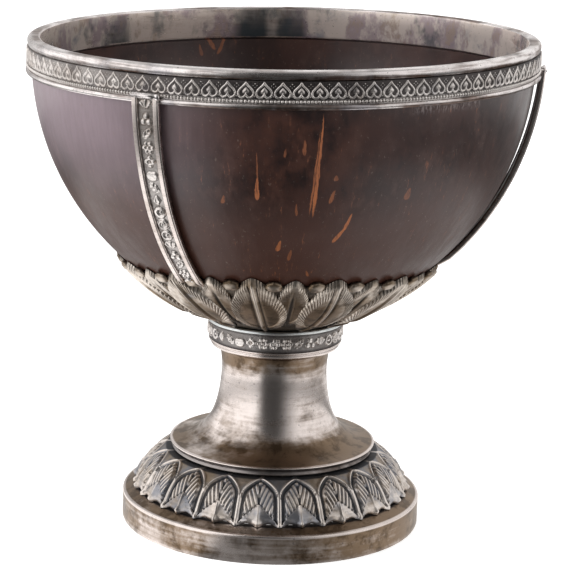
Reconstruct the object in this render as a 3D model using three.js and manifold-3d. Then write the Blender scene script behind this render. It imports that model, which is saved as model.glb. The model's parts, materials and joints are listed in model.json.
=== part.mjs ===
// A coconut-shell drinking cup in silver mounts, on a trumpet stem and a round foot.
// Millimetres, +Z up. The origin is at the centre of the face that the foot stands on.
// Azimuth 0 is the front of the cup, -Y, and grows toward +X.

import * as THREE from 'three'
import { mergeVertices } from 'three/addons/utils/BufferGeometryUtils.js'
import Module from 'manifold-3d'

const wasm = await Module()
wasm.setup()

// Clearance left where two pieces are soldered, seated or screwed together
const seam = 0.3

// Foot
const footRadius = 36.0
const footWallHeight = 6.9
const footDomeRise = 1.2
const footEdgeRound = 0.5
const footLedge = 3.2
const footShoulderReach = 1.6
const footShoulderRise = 0.8
const footSheet = 1.2
const leafRingHeight = 8.9
const leafRingSheet = 1.1
const leafRingBulge = 1.5
const leafRingSeat = 1.5
const leafRingLap = 0.4
const leafPointReach = 0.7
const footLeafCount = 20
const footLeafRelief = 0.9
const firstFootLeafAngle = -4.9

// Stem
const flangeRadius = 24.8
const flangeEdge = 2.1
const flangeUndercut = 1.65
const scotiaRadius = 23.8
const scotiaHeight = 1.45
const waistRadius = 12.65
const neckRadius = 13.8
const waistHeight = 19.4
const neckHeight = 6.0
const flareReach = 4.35
const flareRise = 0.6
const waistEase = 0.65
const waistEaseHeight = 4.5
const stemSheet = 1.2
const stemSeatWidth = 2.2
const stemSeatThickness = 1.0

// Collar between stem and calyx
const mouldingHeight = 1.8
const mouldingRadius = 16.0
const mouldingFootReach = 0.9
const mouldingFootSlope = 0.3
const mouldingCove = 0.35
const mouldingTopEase = 0.15
const collarBandHeight = 3.7
const collarBandRadius = 16.1
const collarWireDiameter = 1.0
const collarWireReach = 0.5
const collarSheet = 1.4

// Nut, an ellipse of revolution cut level at the top and flat where it sits
const nutRadius = 58.9
const nutDepth = 64.0
const nutSeatRadius = 11.35
const nutWall = 2.7
const nutRimWall = 1.2

// Rim mounts
const lipHeight = 2.05
const lipWidth = 3.0
const lipChamfer = 0.5
const lipOverhang = 0.9
const liningDepth = 5.8
const liningSheet = 0.6
const heartBandHeight = 3.5
const heartBandSheet = 0.7
const beadWireHeight = 0.8
const beadWireSheet = 0.85
const lowerWireHeight = 1.0
const lowerWireSheet = 0.95
const rimAboveNutCentre = 1.05

// Straps
const strapAngles = { front_left: -28.9, right: 86.5, rear_left: 209 }
const strapWidth = 6.9
const strapRailWidth = 1.25
const strapAirTop = 0.95
const strapAirFoot = 0.45
const strapRailThickness = 1.45
const strapStripThickness = 0.75
const strapTuck = 3.4
const strapPocketBehind = 0.6
const strapPocketBefore = 1.2
const headWidth = 7.5
const headHeight = 2.0
const headThickness = 0.5

// Calyx
const calyxSheet = 1.1
const calyxSeatRadius = 16.2
const calyxLeafPairs = 13
const calyxFirstLeafAngle = -7.9
const calyxFloorHeight = 2.4
const calyxEdgeHeight = 14.0
const calyxEdgeSway = 1.6
const calyxLeafRise = 0.2
const calyxBudRise = 0.75
const calyxStandOffLow = 1.95
const calyxStandOffHigh = 0.95
const calyxLeafRelief = 0.8
const calyxSmallLeafRelief = 0.25

// Screw fixing inside the stem
const boltRadius = 3.0
const boltHeadRadius = 10.0
const boltHeadThickness = 1.6
const boltTail = 1.4
const boltChamfer = 0.4
const boltClearance = 0.3
const bridgeThickness = 1.6
const bridgeOverlap = 1.3
const washerRadius = 6.6
const washerThickness = 1.2
const nutAcrossFlats = 10.0
const footNutHeight = 4.0

// Facets round each turned piece
const bowlFacets = 48
const stemFacets = 40
const wireFacets = 40
const boltFacets = 20
const facetsPerCalyxPair = 8
const facetsPerFootLeaf = 4
const bowlSteps = 8
const stemSteps = 7
const strapSteps = 9

// Heights, stacked from the ground up
const domeTop = footWallHeight + footDomeRise
const leafRingBottom = domeTop + seam
const leafRingTop = leafRingBottom + leafRingHeight
const stemBottom = leafRingTop + seam
const waistLevel = stemBottom + waistHeight
const stemTop = waistLevel + neckHeight
const mouldingBottom = stemTop + seam
const mouldingTop = mouldingBottom + mouldingHeight
const collarBandBottom = mouldingTop + seam
const collarBandTop = collarBandBottom + collarBandHeight
const collarWireBottom = collarBandTop + seam
const collarWireTop = collarWireBottom + collarWireDiameter
const calyxBottom = collarWireTop + seam
const nutSeat = calyxBottom + calyxSheet + seam
const nutCentre = nutSeat + nutDepth * Math.sqrt(1 - (nutSeatRadius / nutRadius) ** 2)
const nutTop = nutCentre + rimAboveNutCentre
const lipBottom = nutTop + seam
const lipTop = lipBottom + lipHeight

// Finishes
const silver = { color: 0xb9b0a8, roughness: 0.34, metalness: 1.0 }
const oxidisedSilver = { color: 0x8f877f, roughness: 0.42, metalness: 1.0 }
const shell = { color: 0x3a2420, roughness: 0.3, metalness: 0.0 }

const cup = new THREE.Group()

function finish(name, geometry, look) {
  const mesh = new THREE.Mesh(geometry, new THREE.MeshStandardMaterial(look))
  mesh.name = name
  return mesh
}

// A turned piece from a closed outline of [radius, height] points
function turned(outline, facets) {
  const points = outline.map(([r, z]) => new THREE.Vector2(r, z))
  points.push(points[0].clone())
  const geometry = new THREE.LatheGeometry(points, facets)
  geometry.rotateX(Math.PI / 2)
  return facingOut(geometry)
}

// A turned piece whose outline starts and ends on the axis
function turnedSolid(outline, facets) {
  const points = outline.map(([r, z]) => new THREE.Vector2(r, z))
  const geometry = new THREE.LatheGeometry(points, facets)
  geometry.rotateX(Math.PI / 2)
  return facingOut(geometry)
}

function signedVolume(geometry) {
  const p = geometry.attributes.position
  const index = geometry.index
  const [a, b, c] = [new THREE.Vector3(), new THREE.Vector3(), new THREE.Vector3()]
  let volume = 0
  for (let i = 0; i < index.count; i += 3) {
    a.fromBufferAttribute(p, index.getX(i))
    b.fromBufferAttribute(p, index.getX(i + 1))
    c.fromBufferAttribute(p, index.getX(i + 2))
    volume += a.dot(b.cross(c)) / 6
  }
  return volume
}

// Turns every face round when the surface is inside out
function facingOut(geometry) {
  geometry.deleteAttribute('uv')
  geometry.deleteAttribute('normal')
  const merged = mergeVertices(geometry, 1e-5)
  if (signedVolume(merged) < 0) {
    const index = merged.index
    for (let i = 0; i < index.count; i += 3) {
      const first = index.getX(i)
      index.setX(i, index.getX(i + 1))
      index.setX(i + 1, first)
    }
  }
  merged.computeVertexNormals()
  return merged
}

// Second face of a sheet: the outline moved sideways by the sheet's thickness
function offsetOutline(outline, thickness) {
  return outline.map(([r, z], i) => {
    const before = outline[Math.max(i - 1, 0)]
    const after = outline[Math.min(i + 1, outline.length - 1)]
    const dr = after[0] - before[0]
    const dz = after[1] - before[1]
    const length = Math.hypot(dr, dz)
    return [r - (dz / length) * thickness, z + (dr / length) * thickness]
  })
}

// Points of an elliptical arc in the outline plane, angles in degrees from +r toward +z
function arc(r, z, reachR, reachZ, from, to, steps) {
  return Array.from({ length: steps + 1 }, (_, i) => {
    const angle = THREE.MathUtils.degToRad(from + ((to - from) * i) / steps)
    return [r + reachR * Math.cos(angle), z + reachZ * Math.sin(angle)]
  })
}

// A surface of rings that vary round the axis: each ring maps an angle to [radius, height].
// Rings run from a pole on the axis to another, or close on themselves when poles is null.
function ringed(rings, facets, poles) {
  const positions = []
  const faces = []
  for (const ring of rings) {
    for (let j = 0; j < facets; j++) {
      const azimuth = (360 * j) / facets
      const [r, z] = ring(azimuth)
      const angle = THREE.MathUtils.degToRad(azimuth - 90)
      positions.push(r * Math.cos(angle), r * Math.sin(angle), z)
    }
  }
  const loops = poles ? rings.length - 1 : rings.length
  for (let i = 0; i < loops; i++) {
    const next = (i + 1) % rings.length
    for (let j = 0; j < facets; j++) {
      const k = (j + 1) % facets
      const [a, b, c, d] = [i * facets + j, i * facets + k, next * facets + k, next * facets + j]
      faces.push(a, b, c, a, c, d)
    }
  }
  if (poles) {
    const first = positions.length / 3
    positions.push(0, 0, poles[0], 0, 0, poles[1])
    const lastRing = (rings.length - 1) * facets
    for (let j = 0; j < facets; j++) {
      const k = (j + 1) % facets
      faces.push(first, k, j)
      faces.push(first + 1, lastRing + j, lastRing + k)
    }
  }
  const geometry = new THREE.BufferGeometry()
  geometry.setAttribute('position', new THREE.Float32BufferAttribute(positions, 3))
  geometry.setIndex(faces)
  return facingOut(geometry)
}

// Boolean cut of one closed geometry by others
function manifoldOf(geometry) {
  return new wasm.Manifold(new wasm.Mesh({
    numProp: 3,
    vertProperties: new Float32Array(geometry.attributes.position.array),
    triVerts: new Uint32Array(geometry.index.array),
  }))
}

function cutBy(geometry, cutters) {
  let solid = manifoldOf(geometry)
  for (const cutter of cutters) {
    solid = solid.subtract(manifoldOf(cutter))
  }
  const mesh = solid.getMesh()
  const result = new THREE.BufferGeometry()
  result.setAttribute('position', new THREE.BufferAttribute(new Float32Array(mesh.vertProperties), 3))
  result.setIndex(new THREE.BufferAttribute(new Uint32Array(mesh.triVerts), 1))
  result.computeVertexNormals()
  return result
}

// Nut's outer surface: radius at a height, and the point at a stand-off outside it
function nutOuterRadius(z) {
  return nutRadius * Math.sqrt(Math.max(0, 1 - ((nutCentre - z) / nutDepth) ** 2))
}

function offNut(z, standOff) {
  const r = nutOuterRadius(z)
  const normalR = r / nutRadius ** 2
  const normalZ = (z - nutCentre) / nutDepth ** 2
  const length = Math.hypot(normalR, normalZ)
  return [r + (normalR / length) * standOff, z + (normalZ / length) * standOff]
}

// Heights along the nut spaced evenly round its curve
function nutHeights(from, to, steps) {
  const angleAt = (z) => Math.asin(THREE.MathUtils.clamp((z - nutCentre) / nutDepth, -1, 1))
  const [a, b] = [angleAt(from), angleAt(to)]
  return Array.from({ length: steps + 1 }, (_, i) => {
    return nutCentre + nutDepth * Math.sin(a + ((b - a) * i) / steps)
  })
}

// Nut shell: its outside, the pared rim under the mounts, and the hollow inside
function coconutBowl() {
  const rebateLevel = lipBottom - liningDepth - seam
  const outside = nutHeights(nutSeat, nutCentre, bowlSteps)
    .map((z) => [nutOuterRadius(z), z])
  const inside = nutHeights(nutSeat, rebateLevel, bowlSteps)
    .slice(1)
    .map((z) => offNut(z, -nutWall))
    .filter(([, z]) => z < rebateLevel)
    .reverse()
  const rimInnerRadius = nutRadius - nutRimWall
  const mouthRadius = offNut(rebateLevel, -nutWall)[0]
  const floor = nutSeat + nutWall
  const outline = [
    [0, nutSeat],
    ...outside,
    [nutRadius, nutTop],
    [rimInnerRadius, nutTop],
    [rimInnerRadius, rebateLevel],
    [mouthRadius, rebateLevel],
    ...inside,
    [0, floor],
  ]
  return turnedSolid(outline, bowlFacets)
}

// Rim mounts: lip, lining, heart strip, bead row and lower wire
const bandInnerRadius = nutRadius + seam
const lipOuterRadius = nutRadius + lipOverhang
const lipInnerRadius = lipOuterRadius - lipWidth

function rimLip() {
  const round = lipHeight / 2
  const rollCentre = lipOuterRadius - round
  return turned([
    [lipInnerRadius, lipBottom],
    ...arc(rollCentre, lipBottom + round, round, round, -90, 90, 4),
    [lipInnerRadius + lipChamfer, lipTop],
    [lipInnerRadius, lipTop - lipChamfer],
  ], bowlFacets)
}

function rimLining() {
  const outer = nutRadius - nutRimWall - seam
  const top = lipBottom - seam
  const bottom = lipBottom - liningDepth
  return turned([
    [outer, bottom],
    [outer, top],
    [outer - liningSheet, top],
    [outer - liningSheet, bottom],
  ], bowlFacets)
}

const heartBandTop = lipBottom - seam
const heartBandBottom = heartBandTop - heartBandHeight
const beadWireTop = heartBandBottom - seam
const beadWireBottom = beadWireTop - beadWireHeight
const lowerWireTop = beadWireBottom - seam
const lowerWireBottom = lowerWireTop - lowerWireHeight

function rimHeartBand() {
  const outer = bandInnerRadius + heartBandSheet
  return turned([
    [bandInnerRadius, heartBandBottom],
    [outer, heartBandBottom],
    [outer, heartBandTop],
    [bandInnerRadius, heartBandTop],
  ], bowlFacets)
}

function rimWire(bottom, top, sheet) {
  const middle = (bottom + top) / 2
  const round = (top - bottom) / 2
  const straight = bandInnerRadius + sheet - round
  return turned([
    [bandInnerRadius, bottom],
    ...arc(straight, middle, round, round, -90, 90, 2),
    [bandInnerRadius, top],
  ], bowlFacets)
}

// Straps: a side view of the bar, extruded to its width and turned to its azimuth
const strapTop = lowerWireBottom - seam
const strapBottom = nutSeat + calyxEdgeHeight - strapTuck

// Air between the nut and a strap, least at the strap's foot
function strapAir(z) {
  return THREE.MathUtils.mapLinear(z, strapBottom, strapTop, strapAirFoot, strapAirTop)
}

function strapBar(inner, outer, bottom, width, sideways) {
  const heights = nutHeights(bottom, strapTop, strapSteps)
  const outerEdge = heights.map((z) => offNut(z, strapAir(z) + outer))
  const innerEdge = heights.map((z) => offNut(z, strapAir(z) + inner)).reverse()
  const side = [...outerEdge, ...innerEdge].map(([r, z]) => new THREE.Vector2(r, Math.min(z, strapTop)))
  const geometry = new THREE.ExtrudeGeometry(new THREE.Shape(side), { depth: width, bevelEnabled: false })
  geometry.rotateX(Math.PI / 2)
  geometry.translate(0, sideways + width / 2, 0)
  return facingOut(geometry)
}

function placedStrap(azimuth) {
  const place = new THREE.Group()
  place.rotation.z = THREE.MathUtils.degToRad(azimuth - 90)
  return place
}

function strapHead() {
  const inner = bandInnerRadius + Math.max(beadWireSheet, lowerWireSheet) + seam
  const bottom = lowerWireBottom
  const geometry = new THREE.BoxGeometry(headThickness, headWidth, headHeight)
  geometry.translate(inner + headThickness / 2, 0, bottom + headHeight / 2)
  return facingOut(geometry)
}

// Room that the calyx leaves for a strap's tucked end
function strapPocket(azimuth) {
  const geometry = strapBar(
    -strapPocketBehind,
    strapRailThickness + strapPocketBefore,
    strapBottom - seam,
    strapWidth + 2 * seam,
    0,
  )
  geometry.rotateZ(THREE.MathUtils.degToRad(azimuth - 90))
  return geometry
}

function addStraps() {
  const railShift = (strapWidth - strapRailWidth) / 2
  const stripWidth = strapWidth - 2 * strapRailWidth - 2 * seam
  for (const [place, azimuth] of Object.entries(strapAngles)) {
    const strap = placedStrap(azimuth)
    const strip = strapBar(0, strapStripThickness, strapBottom, stripWidth, 0)
    strap.add(finish(`strap_${place}_strip`, strip, oxidisedSilver))
    for (const [side, sign] of [['left', -1], ['right', 1]]) {
      const rail = strapBar(0, strapRailThickness, strapBottom, strapRailWidth, sign * railShift)
      strap.add(finish(`strap_${place}_${side}_rail`, rail, silver))
    }
    strap.add(finish(`strap_${place}_head`, strapHead(), silver))
    cup.add(strap)
  }
}

// Calyx: 13 large leaves and 13 small ones round a dished cup, with a bud in each gap
const calyxFacets = calyxLeafPairs * facetsPerCalyxPair

// A wave that peaks on the spine of a large leaf, and again at each even part of the pitch
function pitchWave(azimuth, first, count, peaks) {
  const turn = ((azimuth - first) * count) / 360
  return Math.cos(2 * Math.PI * turn * peaks)
}

const largeLeafWave = (azimuth) => pitchWave(azimuth, calyxFirstLeafAngle, calyxLeafPairs, 1)
const budWave = (azimuth) => pitchWave(azimuth, calyxFirstLeafAngle, calyxLeafPairs, 4)

// Top edge: it rises at large leaves most, and at small leaves and the buds between them.
// The whole edge also sways a little, higher at the front and the back than at the sides.
function calyxEdge(azimuth) {
  const sway = calyxEdgeSway * Math.cos(2 * THREE.MathUtils.degToRad(azimuth))
  const leaves = calyxLeafRise * largeLeafWave(azimuth)
  return nutSeat + calyxEdgeHeight + sway + leaves + calyxBudRise * budWave(azimuth)
}

function calyx() {
  const steps = 5
  const firstLevel = nutSeat + calyxFloorHeight
  const levelAt = (share, azimuth) => {
    const edge = calyxEdge(azimuth)
    const angleOf = (z) => Math.asin((z - nutCentre) / nutDepth)
    const angle = angleOf(firstLevel) + (angleOf(edge) - angleOf(firstLevel)) * share
    return nutCentre + nutDepth * Math.sin(angle)
  }
  const standOff = (share) => THREE.MathUtils.lerp(calyxStandOffLow, calyxStandOffHigh, share ** 2)
  const relief = (share, azimuth) => {
    const swell = Math.sin(Math.PI * Math.min(1, 0.15 + share))
    const leafRelief = (calyxLeafRelief - calyxSmallLeafRelief) * largeLeafWave(azimuth)
    return (calyxSmallLeafRelief + leafRelief) * swell * (share < 1)
  }
  const outer = []
  const inner = []
  for (let i = 0; i <= steps; i++) {
    const share = i / steps
    outer.push((azimuth) => offNut(levelAt(share, azimuth), standOff(share) + relief(share, azimuth)))
    inner.push((azimuth) => {
      return offNut(levelAt(share, azimuth), Math.max(seam, standOff(share) - calyxSheet))
    })
  }
  const rings = [
    () => [calyxSeatRadius, calyxBottom],
    ...outer,
    ...inner.reverse(),
    () => [calyxSeatRadius - calyxSheet, calyxBottom + calyxSheet],
  ]
  const dish = ringed(rings, calyxFacets, [calyxBottom, calyxBottom + calyxSheet])
  return cutBy(dish, Object.values(strapAngles).map(strapPocket))
}

// Collar rings between calyx and stem
function collarTopWire() {
  const round = collarWireDiameter / 2
  const centre = calyxSeatRadius + collarWireReach - round
  const inner = calyxSeatRadius - collarSheet
  return turned([
    [inner, collarWireBottom],
    ...arc(centre, collarWireBottom + round, round, round, -90, 90, 3),
    [inner, collarWireTop],
  ], wireFacets)
}

function collarBand() {
  return turned([
    [collarBandRadius - collarSheet, collarBandBottom],
    [collarBandRadius, collarBandBottom],
    [collarBandRadius, collarBandTop],
    [collarBandRadius - collarSheet, collarBandTop],
  ], wireFacets)
}

function collarMoulding() {
  const step = mouldingHeight / 4
  const foot = neckRadius + mouldingFootReach
  const inner = neckRadius - stemSheet
  return turned([
    [inner, mouldingBottom],
    [foot, mouldingBottom],
    [foot + mouldingFootSlope, mouldingBottom + step],
    [mouldingRadius - mouldingCove, mouldingBottom + 2 * step],
    [mouldingRadius, mouldingBottom + 3 * step],
    [mouldingRadius - mouldingTopEase, mouldingTop],
    [inner, mouldingTop],
  ], wireFacets)
}

// Stem: a trumpet of sheet silver that ends in a flange over the leaf ring
const stemSeatRadius = scotiaRadius - stemSeatWidth
const bridgeRadius = stemSeatRadius + bridgeOverlap

function stem() {
  const flangeTop = stemBottom + flangeEdge
  const sweep = new THREE.CubicBezierCurve(
    new THREE.Vector2(flangeRadius, flangeTop),
    new THREE.Vector2(waistRadius + flareReach, flangeTop + flareRise),
    new THREE.Vector2(waistRadius + waistEase, flangeTop + waistEaseHeight),
    new THREE.Vector2(waistRadius, waistLevel),
  )
  const trumpet = sweep.getPoints(stemSteps).map((p) => [p.x, p.y])
  const neck = arc(neckRadius, waistLevel, neckRadius - waistRadius, neckHeight, 180, 90, 3).slice(1)
  const outside = [...trumpet, ...neck]
  const inside = offsetOutline(outside, stemSheet).filter(([, z]) => z > flangeTop && z < stemTop)
  const bore = inside.filter(([r], i) => i === inside.length - 1 || r < scotiaRadius - stemSheet)
  return turned([
    [scotiaRadius, stemBottom],
    [scotiaRadius, stemBottom + scotiaHeight],
    [flangeRadius, stemBottom + flangeUndercut],
    ...outside,
    [neckRadius - stemSheet, stemTop],
    ...bore.reverse(),
    [stemSeatRadius, stemBottom + stemSeatThickness],
    [stemSeatRadius, stemBottom],
  ], stemFacets)
}

// Foot: domed ring of leaves, and the base with its upright wall
const leafRingRadius = footRadius - footLedge
const leafRingTopRadius = flangeRadius + leafRingLap
const leafRingMouth = bridgeRadius + seam

// The ring swells at each leaf, and its lower edge points out at leaves and at the darts between
function footLeafRing() {
  const steps = 4
  const facets = footLeafCount * facetsPerFootLeaf
  const chord = [leafRingTopRadius - leafRingRadius, leafRingHeight]
  const length = Math.hypot(...chord)
  const outerPoint = (share, azimuth, depth) => {
    const leaf = pitchWave(azimuth, firstFootLeafAngle, footLeafCount, 1)
    const swell = Math.sin(Math.PI * share)
    const bulge = (leafRingBulge + (footLeafRelief * (leaf - 1)) / 2) * swell - depth
    return [
      leafRingRadius + chord[0] * share + (chord[1] / length) * bulge,
      leafRingBottom + chord[1] * share - (chord[0] / length) * bulge,
    ]
  }
  const valley = firstFootLeafAngle + 180 / footLeafCount
  const rings = [(azimuth) => {
    const points = pitchWave(azimuth, firstFootLeafAngle, footLeafCount, 2)
    return [leafRingRadius + leafPointReach * points, leafRingBottom]
  }]
  for (let i = 1; i <= steps; i++) {
    rings.push((azimuth) => outerPoint(i / steps, azimuth, 0))
  }
  rings.push(() => [leafRingMouth, leafRingTop])
  rings.push(() => [leafRingMouth, leafRingTop - leafRingSheet])
  for (let i = steps - 1; i >= 1; i--) {
    rings.push(() => outerPoint(i / steps, valley, leafRingSheet))
  }
  rings.push(() => [leafRingRadius - leafRingSeat, leafRingBottom])
  return ringed(rings, facets, null)
}

function footBase() {
  const seatInner = leafRingRadius - leafRingSeat
  const edge = arc(
    footRadius - footEdgeRound,
    footWallHeight - footEdgeRound,
    footEdgeRound,
    footEdgeRound,
    0,
    60,
    2,
  )
  const slope = [
    [leafRingRadius + footShoulderReach, footWallHeight + footShoulderRise],
    [leafRingRadius, domeTop],
  ]
  return turned([
    [footRadius, 0],
    ...edge,
    ...slope,
    [seatInner, domeTop],
    [seatInner, domeTop - footSheet],
    [leafRingRadius, domeTop - footSheet],
    [footRadius - footSheet, footWallHeight - footSheet],
    [footRadius - footSheet, 0],
  ], bowlFacets)
}

// Screw fixing: bolt, bridge disc, washer and nut
const bridgeTop = stemBottom - seam
const bridgeBottom = bridgeTop - bridgeThickness
const washerTop = bridgeBottom - seam
const washerBottom = washerTop - washerThickness
const footNutTop = washerBottom - seam
const footNutBottom = footNutTop - footNutHeight
const boltBoreRadius = boltRadius + boltClearance

function tieBolt() {
  const headTop = calyxBottom - seam
  const headBottom = headTop - boltHeadThickness
  const tail = footNutBottom - boltTail
  return turnedSolid([
    [0, tail],
    [boltRadius - boltChamfer, tail],
    [boltRadius, tail + boltChamfer],
    [boltRadius, headBottom],
    [boltHeadRadius, headBottom],
    [boltHeadRadius, headTop],
    [0, headTop],
  ], boltFacets)
}

function disc(radius, bottom, thickness, facets) {
  return turned([
    [boltBoreRadius, bottom],
    [radius, bottom],
    [radius, bottom + thickness],
    [boltBoreRadius, bottom + thickness],
  ], facets)
}

function footNut() {
  const corner = nutAcrossFlats / 2 / Math.cos(Math.PI / 6)
  const outline = new THREE.Shape(Array.from({ length: 6 }, (_, i) => {
    const angle = (Math.PI * i) / 3
    return new THREE.Vector2(corner * Math.cos(angle), corner * Math.sin(angle))
  }))
  const bore = new THREE.Path()
  bore.absarc(0, 0, boltBoreRadius, 0, 2 * Math.PI, true)
  outline.holes.push(bore)
  const geometry = new THREE.ExtrudeGeometry(outline, {
    depth: footNutHeight,
    bevelEnabled: false,
    curveSegments: boltFacets / 2,
  })
  geometry.translate(0, 0, footNutBottom)
  return facingOut(geometry)
}

cup.add(finish('coconut_bowl', coconutBowl(), shell))
cup.add(finish('rim_lip', rimLip(), silver))
cup.add(finish('rim_lining', rimLining(), silver))
cup.add(finish('rim_heart_band', rimHeartBand(), oxidisedSilver))
cup.add(finish('rim_bead_wire', rimWire(beadWireBottom, beadWireTop, beadWireSheet), silver))
cup.add(finish('rim_lower_wire', rimWire(lowerWireBottom, lowerWireTop, lowerWireSheet), silver))
addStraps()
cup.add(finish('calyx', calyx(), oxidisedSilver))
cup.add(finish('collar_top_wire', collarTopWire(), silver))
cup.add(finish('collar_band', collarBand(), oxidisedSilver))
cup.add(finish('collar_moulding', collarMoulding(), silver))
cup.add(finish('stem', stem(), silver))
cup.add(finish('foot_leaf_ring', footLeafRing(), oxidisedSilver))
cup.add(finish('foot_base', footBase(), silver))
cup.add(finish('tie_bolt', tieBolt(), silver))
cup.add(finish('foot_bridge', disc(bridgeRadius, bridgeBottom, bridgeThickness, stemFacets), silver))
cup.add(finish('foot_washer', disc(washerRadius, washerBottom, washerThickness, boltFacets), silver))
cup.add(finish('foot_nut', footNut(), silver))

export default cup
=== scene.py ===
# %% [markdown]
# # A coconut cup in silver mounts
# Half a coconut shell, polished dark, is held between a silver rim and a leafed silver calyx by
# three straps. Below are a collar, a plain trumpet stem and a round foot with a ring of leaves.
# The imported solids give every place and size. This lesson dresses them: each piece that shows is
# built again at full fineness, in millimetres, and only the mesh itself is stored in metres.

import json
import math

import bmesh
import bpy
import numpy as np
from mathutils import Matrix, Vector

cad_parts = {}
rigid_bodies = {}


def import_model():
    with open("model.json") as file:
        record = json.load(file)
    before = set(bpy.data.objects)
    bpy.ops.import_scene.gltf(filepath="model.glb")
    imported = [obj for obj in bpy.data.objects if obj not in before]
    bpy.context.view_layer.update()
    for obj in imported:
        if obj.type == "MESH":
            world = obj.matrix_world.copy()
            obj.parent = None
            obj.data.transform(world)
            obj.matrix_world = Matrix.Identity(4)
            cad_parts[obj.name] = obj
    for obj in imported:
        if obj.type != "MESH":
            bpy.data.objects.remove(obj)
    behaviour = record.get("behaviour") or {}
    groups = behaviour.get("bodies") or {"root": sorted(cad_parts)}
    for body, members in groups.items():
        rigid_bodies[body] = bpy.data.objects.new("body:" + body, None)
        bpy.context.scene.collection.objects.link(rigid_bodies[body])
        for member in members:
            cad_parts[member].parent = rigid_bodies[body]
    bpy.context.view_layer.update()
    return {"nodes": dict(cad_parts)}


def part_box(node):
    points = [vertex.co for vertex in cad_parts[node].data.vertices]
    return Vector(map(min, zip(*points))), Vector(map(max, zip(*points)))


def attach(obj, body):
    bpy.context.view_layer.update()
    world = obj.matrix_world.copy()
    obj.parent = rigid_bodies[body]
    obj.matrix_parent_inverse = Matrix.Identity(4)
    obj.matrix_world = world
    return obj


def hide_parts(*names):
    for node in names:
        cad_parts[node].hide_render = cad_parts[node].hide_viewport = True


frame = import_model()
MM = 0.001
BODY = "cup"
SEAM = 0.3


def levels(node):
    """Lowest height, highest height and outer radius of a node, in millimetres."""
    low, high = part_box(node)
    return low[2] / MM, high[2] / MM, high[0] / MM


# %% [markdown]
# ## From outlines to meshes
# Nearly every piece was turned, spun or bent round one axis, so one helper does most of the work:
# it takes a grid of points and closes it into a skin. Azimuth 0 is the front of the cup, -Y. Two
# more values go along with each point. `wear` is +1 on a crest that hands and cloths have
# polished and -1 in a hollow that keeps its dark tarnish. `film` is the brown film that stays
# where nobody rubs, such as a ledge. The silver reads both later. Storing them on the mesh is more
# certain than guessing them from the shape.

# %% Meshes with stored layers
def linked(name, data):
    """A new object in the scene."""
    made = bpy.data.objects.new(name, data)
    bpy.context.scene.collection.objects.link(made)
    return made


def store_layer(mesh, label, values):
    """Writes one number per point under a name that a material can read."""
    layer = mesh.attributes.new(label, "FLOAT", "POINT")
    spread = np.broadcast_to(np.asarray(values, float).ravel(), (len(mesh.vertices),))
    layer.data.foreach_set("value", np.clip(spread, -1.0, 1.0))


def shift_layer(mesh, label, amounts):
    """Adds an amount for each point to a stored layer."""
    values = np.empty(len(mesh.vertices), np.float32)
    mesh.attributes[label].data.foreach_get("value", values)
    mesh.attributes[label].data.foreach_set("value", (values + amounts).astype(np.float32))


def make_mesh(name, points, faces, wear=0.0, film=0.0, sharp_above=45.0):
    """A smooth-shaded object from points in millimetres, with its wear and film stored."""
    mesh = bpy.data.meshes.new(name)
    mesh.from_pydata(np.asarray(points, float) * MM, [], faces)
    mesh.shade_smooth()
    mesh.set_sharp_from_angle(angle=math.radians(sharp_above))
    store_layer(mesh, "wear", wear)
    store_layer(mesh, "film", film)
    return linked(name, mesh)


def from_shape(name, shape, wear, film):
    """A smooth object from a bmesh, which it frees, with its wear and film stored."""
    mesh = bpy.data.meshes.new(name)
    shape.to_mesh(mesh)
    shape.free()
    mesh.shade_smooth()
    store_layer(mesh, "wear", wear)
    store_layer(mesh, "film", film)
    return linked(name, mesh)


def face_outward(piece):
    """Turns the faces of a closed skin outward."""
    shape = bmesh.new()
    shape.from_mesh(piece.data)
    bmesh.ops.recalc_face_normals(shape, faces=shape.faces)
    if shape.calc_volume(signed=True) < 0:
        bmesh.ops.reverse_faces(shape, faces=shape.faces)
    shape.to_mesh(piece.data)
    shape.free()


def point_array(piece):
    """The points of a mesh, in millimetres, one row each."""
    flat = np.empty(len(piece.data.vertices) * 3)
    piece.data.vertices.foreach_get("co", flat)
    return flat.reshape(-1, 3) / MM


def azimuths(piece):
    """The azimuth of each point in degrees: 0 at the front, 90 at the right."""
    points = point_array(piece)
    return np.degrees(np.arctan2(points[:, 0], -points[:, 1]))


def by_azimuth(piece, stops, values):
    """A value for each point, eased from stop to stop round the axis."""
    return np.interp(azimuths(piece), stops, values)


def faces_between(a, b, count):
    """Faces between two closed rows of points that start at numbers a and b."""
    return [(a + i, a + (i + 1) % count, b + (i + 1) % count, b + i) for i in range(count)]


def closed_skin(name, grid, poles=None, wear=0.0, film=0.0, sharp_above=45.0):
    """A skin from a grid of points whose columns wrap round. Rows wrap too, or end in two poles."""
    rows, columns = grid.shape[:2]
    points = grid.reshape(-1, 3)
    layers = [np.broadcast_to(layer, (rows, columns)).ravel() for layer in (wear, film)]
    faces = []
    for i in range(rows if poles is None else rows - 1):
        faces += faces_between(i * columns, (i + 1) % rows * columns, columns)
    if poles is not None:
        first, last, end = len(points), len(points) + 1, (rows - 1) * columns
        points = np.vstack([points, poles])
        faces += [(first, (j + 1) % columns, j) for j in range(columns)]
        faces += [(last, end + j, end + (j + 1) % columns) for j in range(columns)]
        layers = [np.append(layer, (layer[0], layer[-1])) for layer in layers]
    piece = make_mesh(name, points, faces, *layers, sharp_above)
    face_outward(piece)
    return piece


# %% [markdown]
# The cup isn't quite true. It was raised by hand and has been knocked about, so its rim leans
# about a degree and a half: low behind on the left, high in front on the right. Everything above
# the leaves takes part in this, more so the higher it is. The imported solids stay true.

# %% The lean of the bowl
LEAN_DROP, LEAN_RIGHT, LEAN_FRONT = -0.5, 1.05, 0.69
LEAN_FROM, LEAN_TO = 62.0, 112.0
RIM_REACH = 60.0


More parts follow.
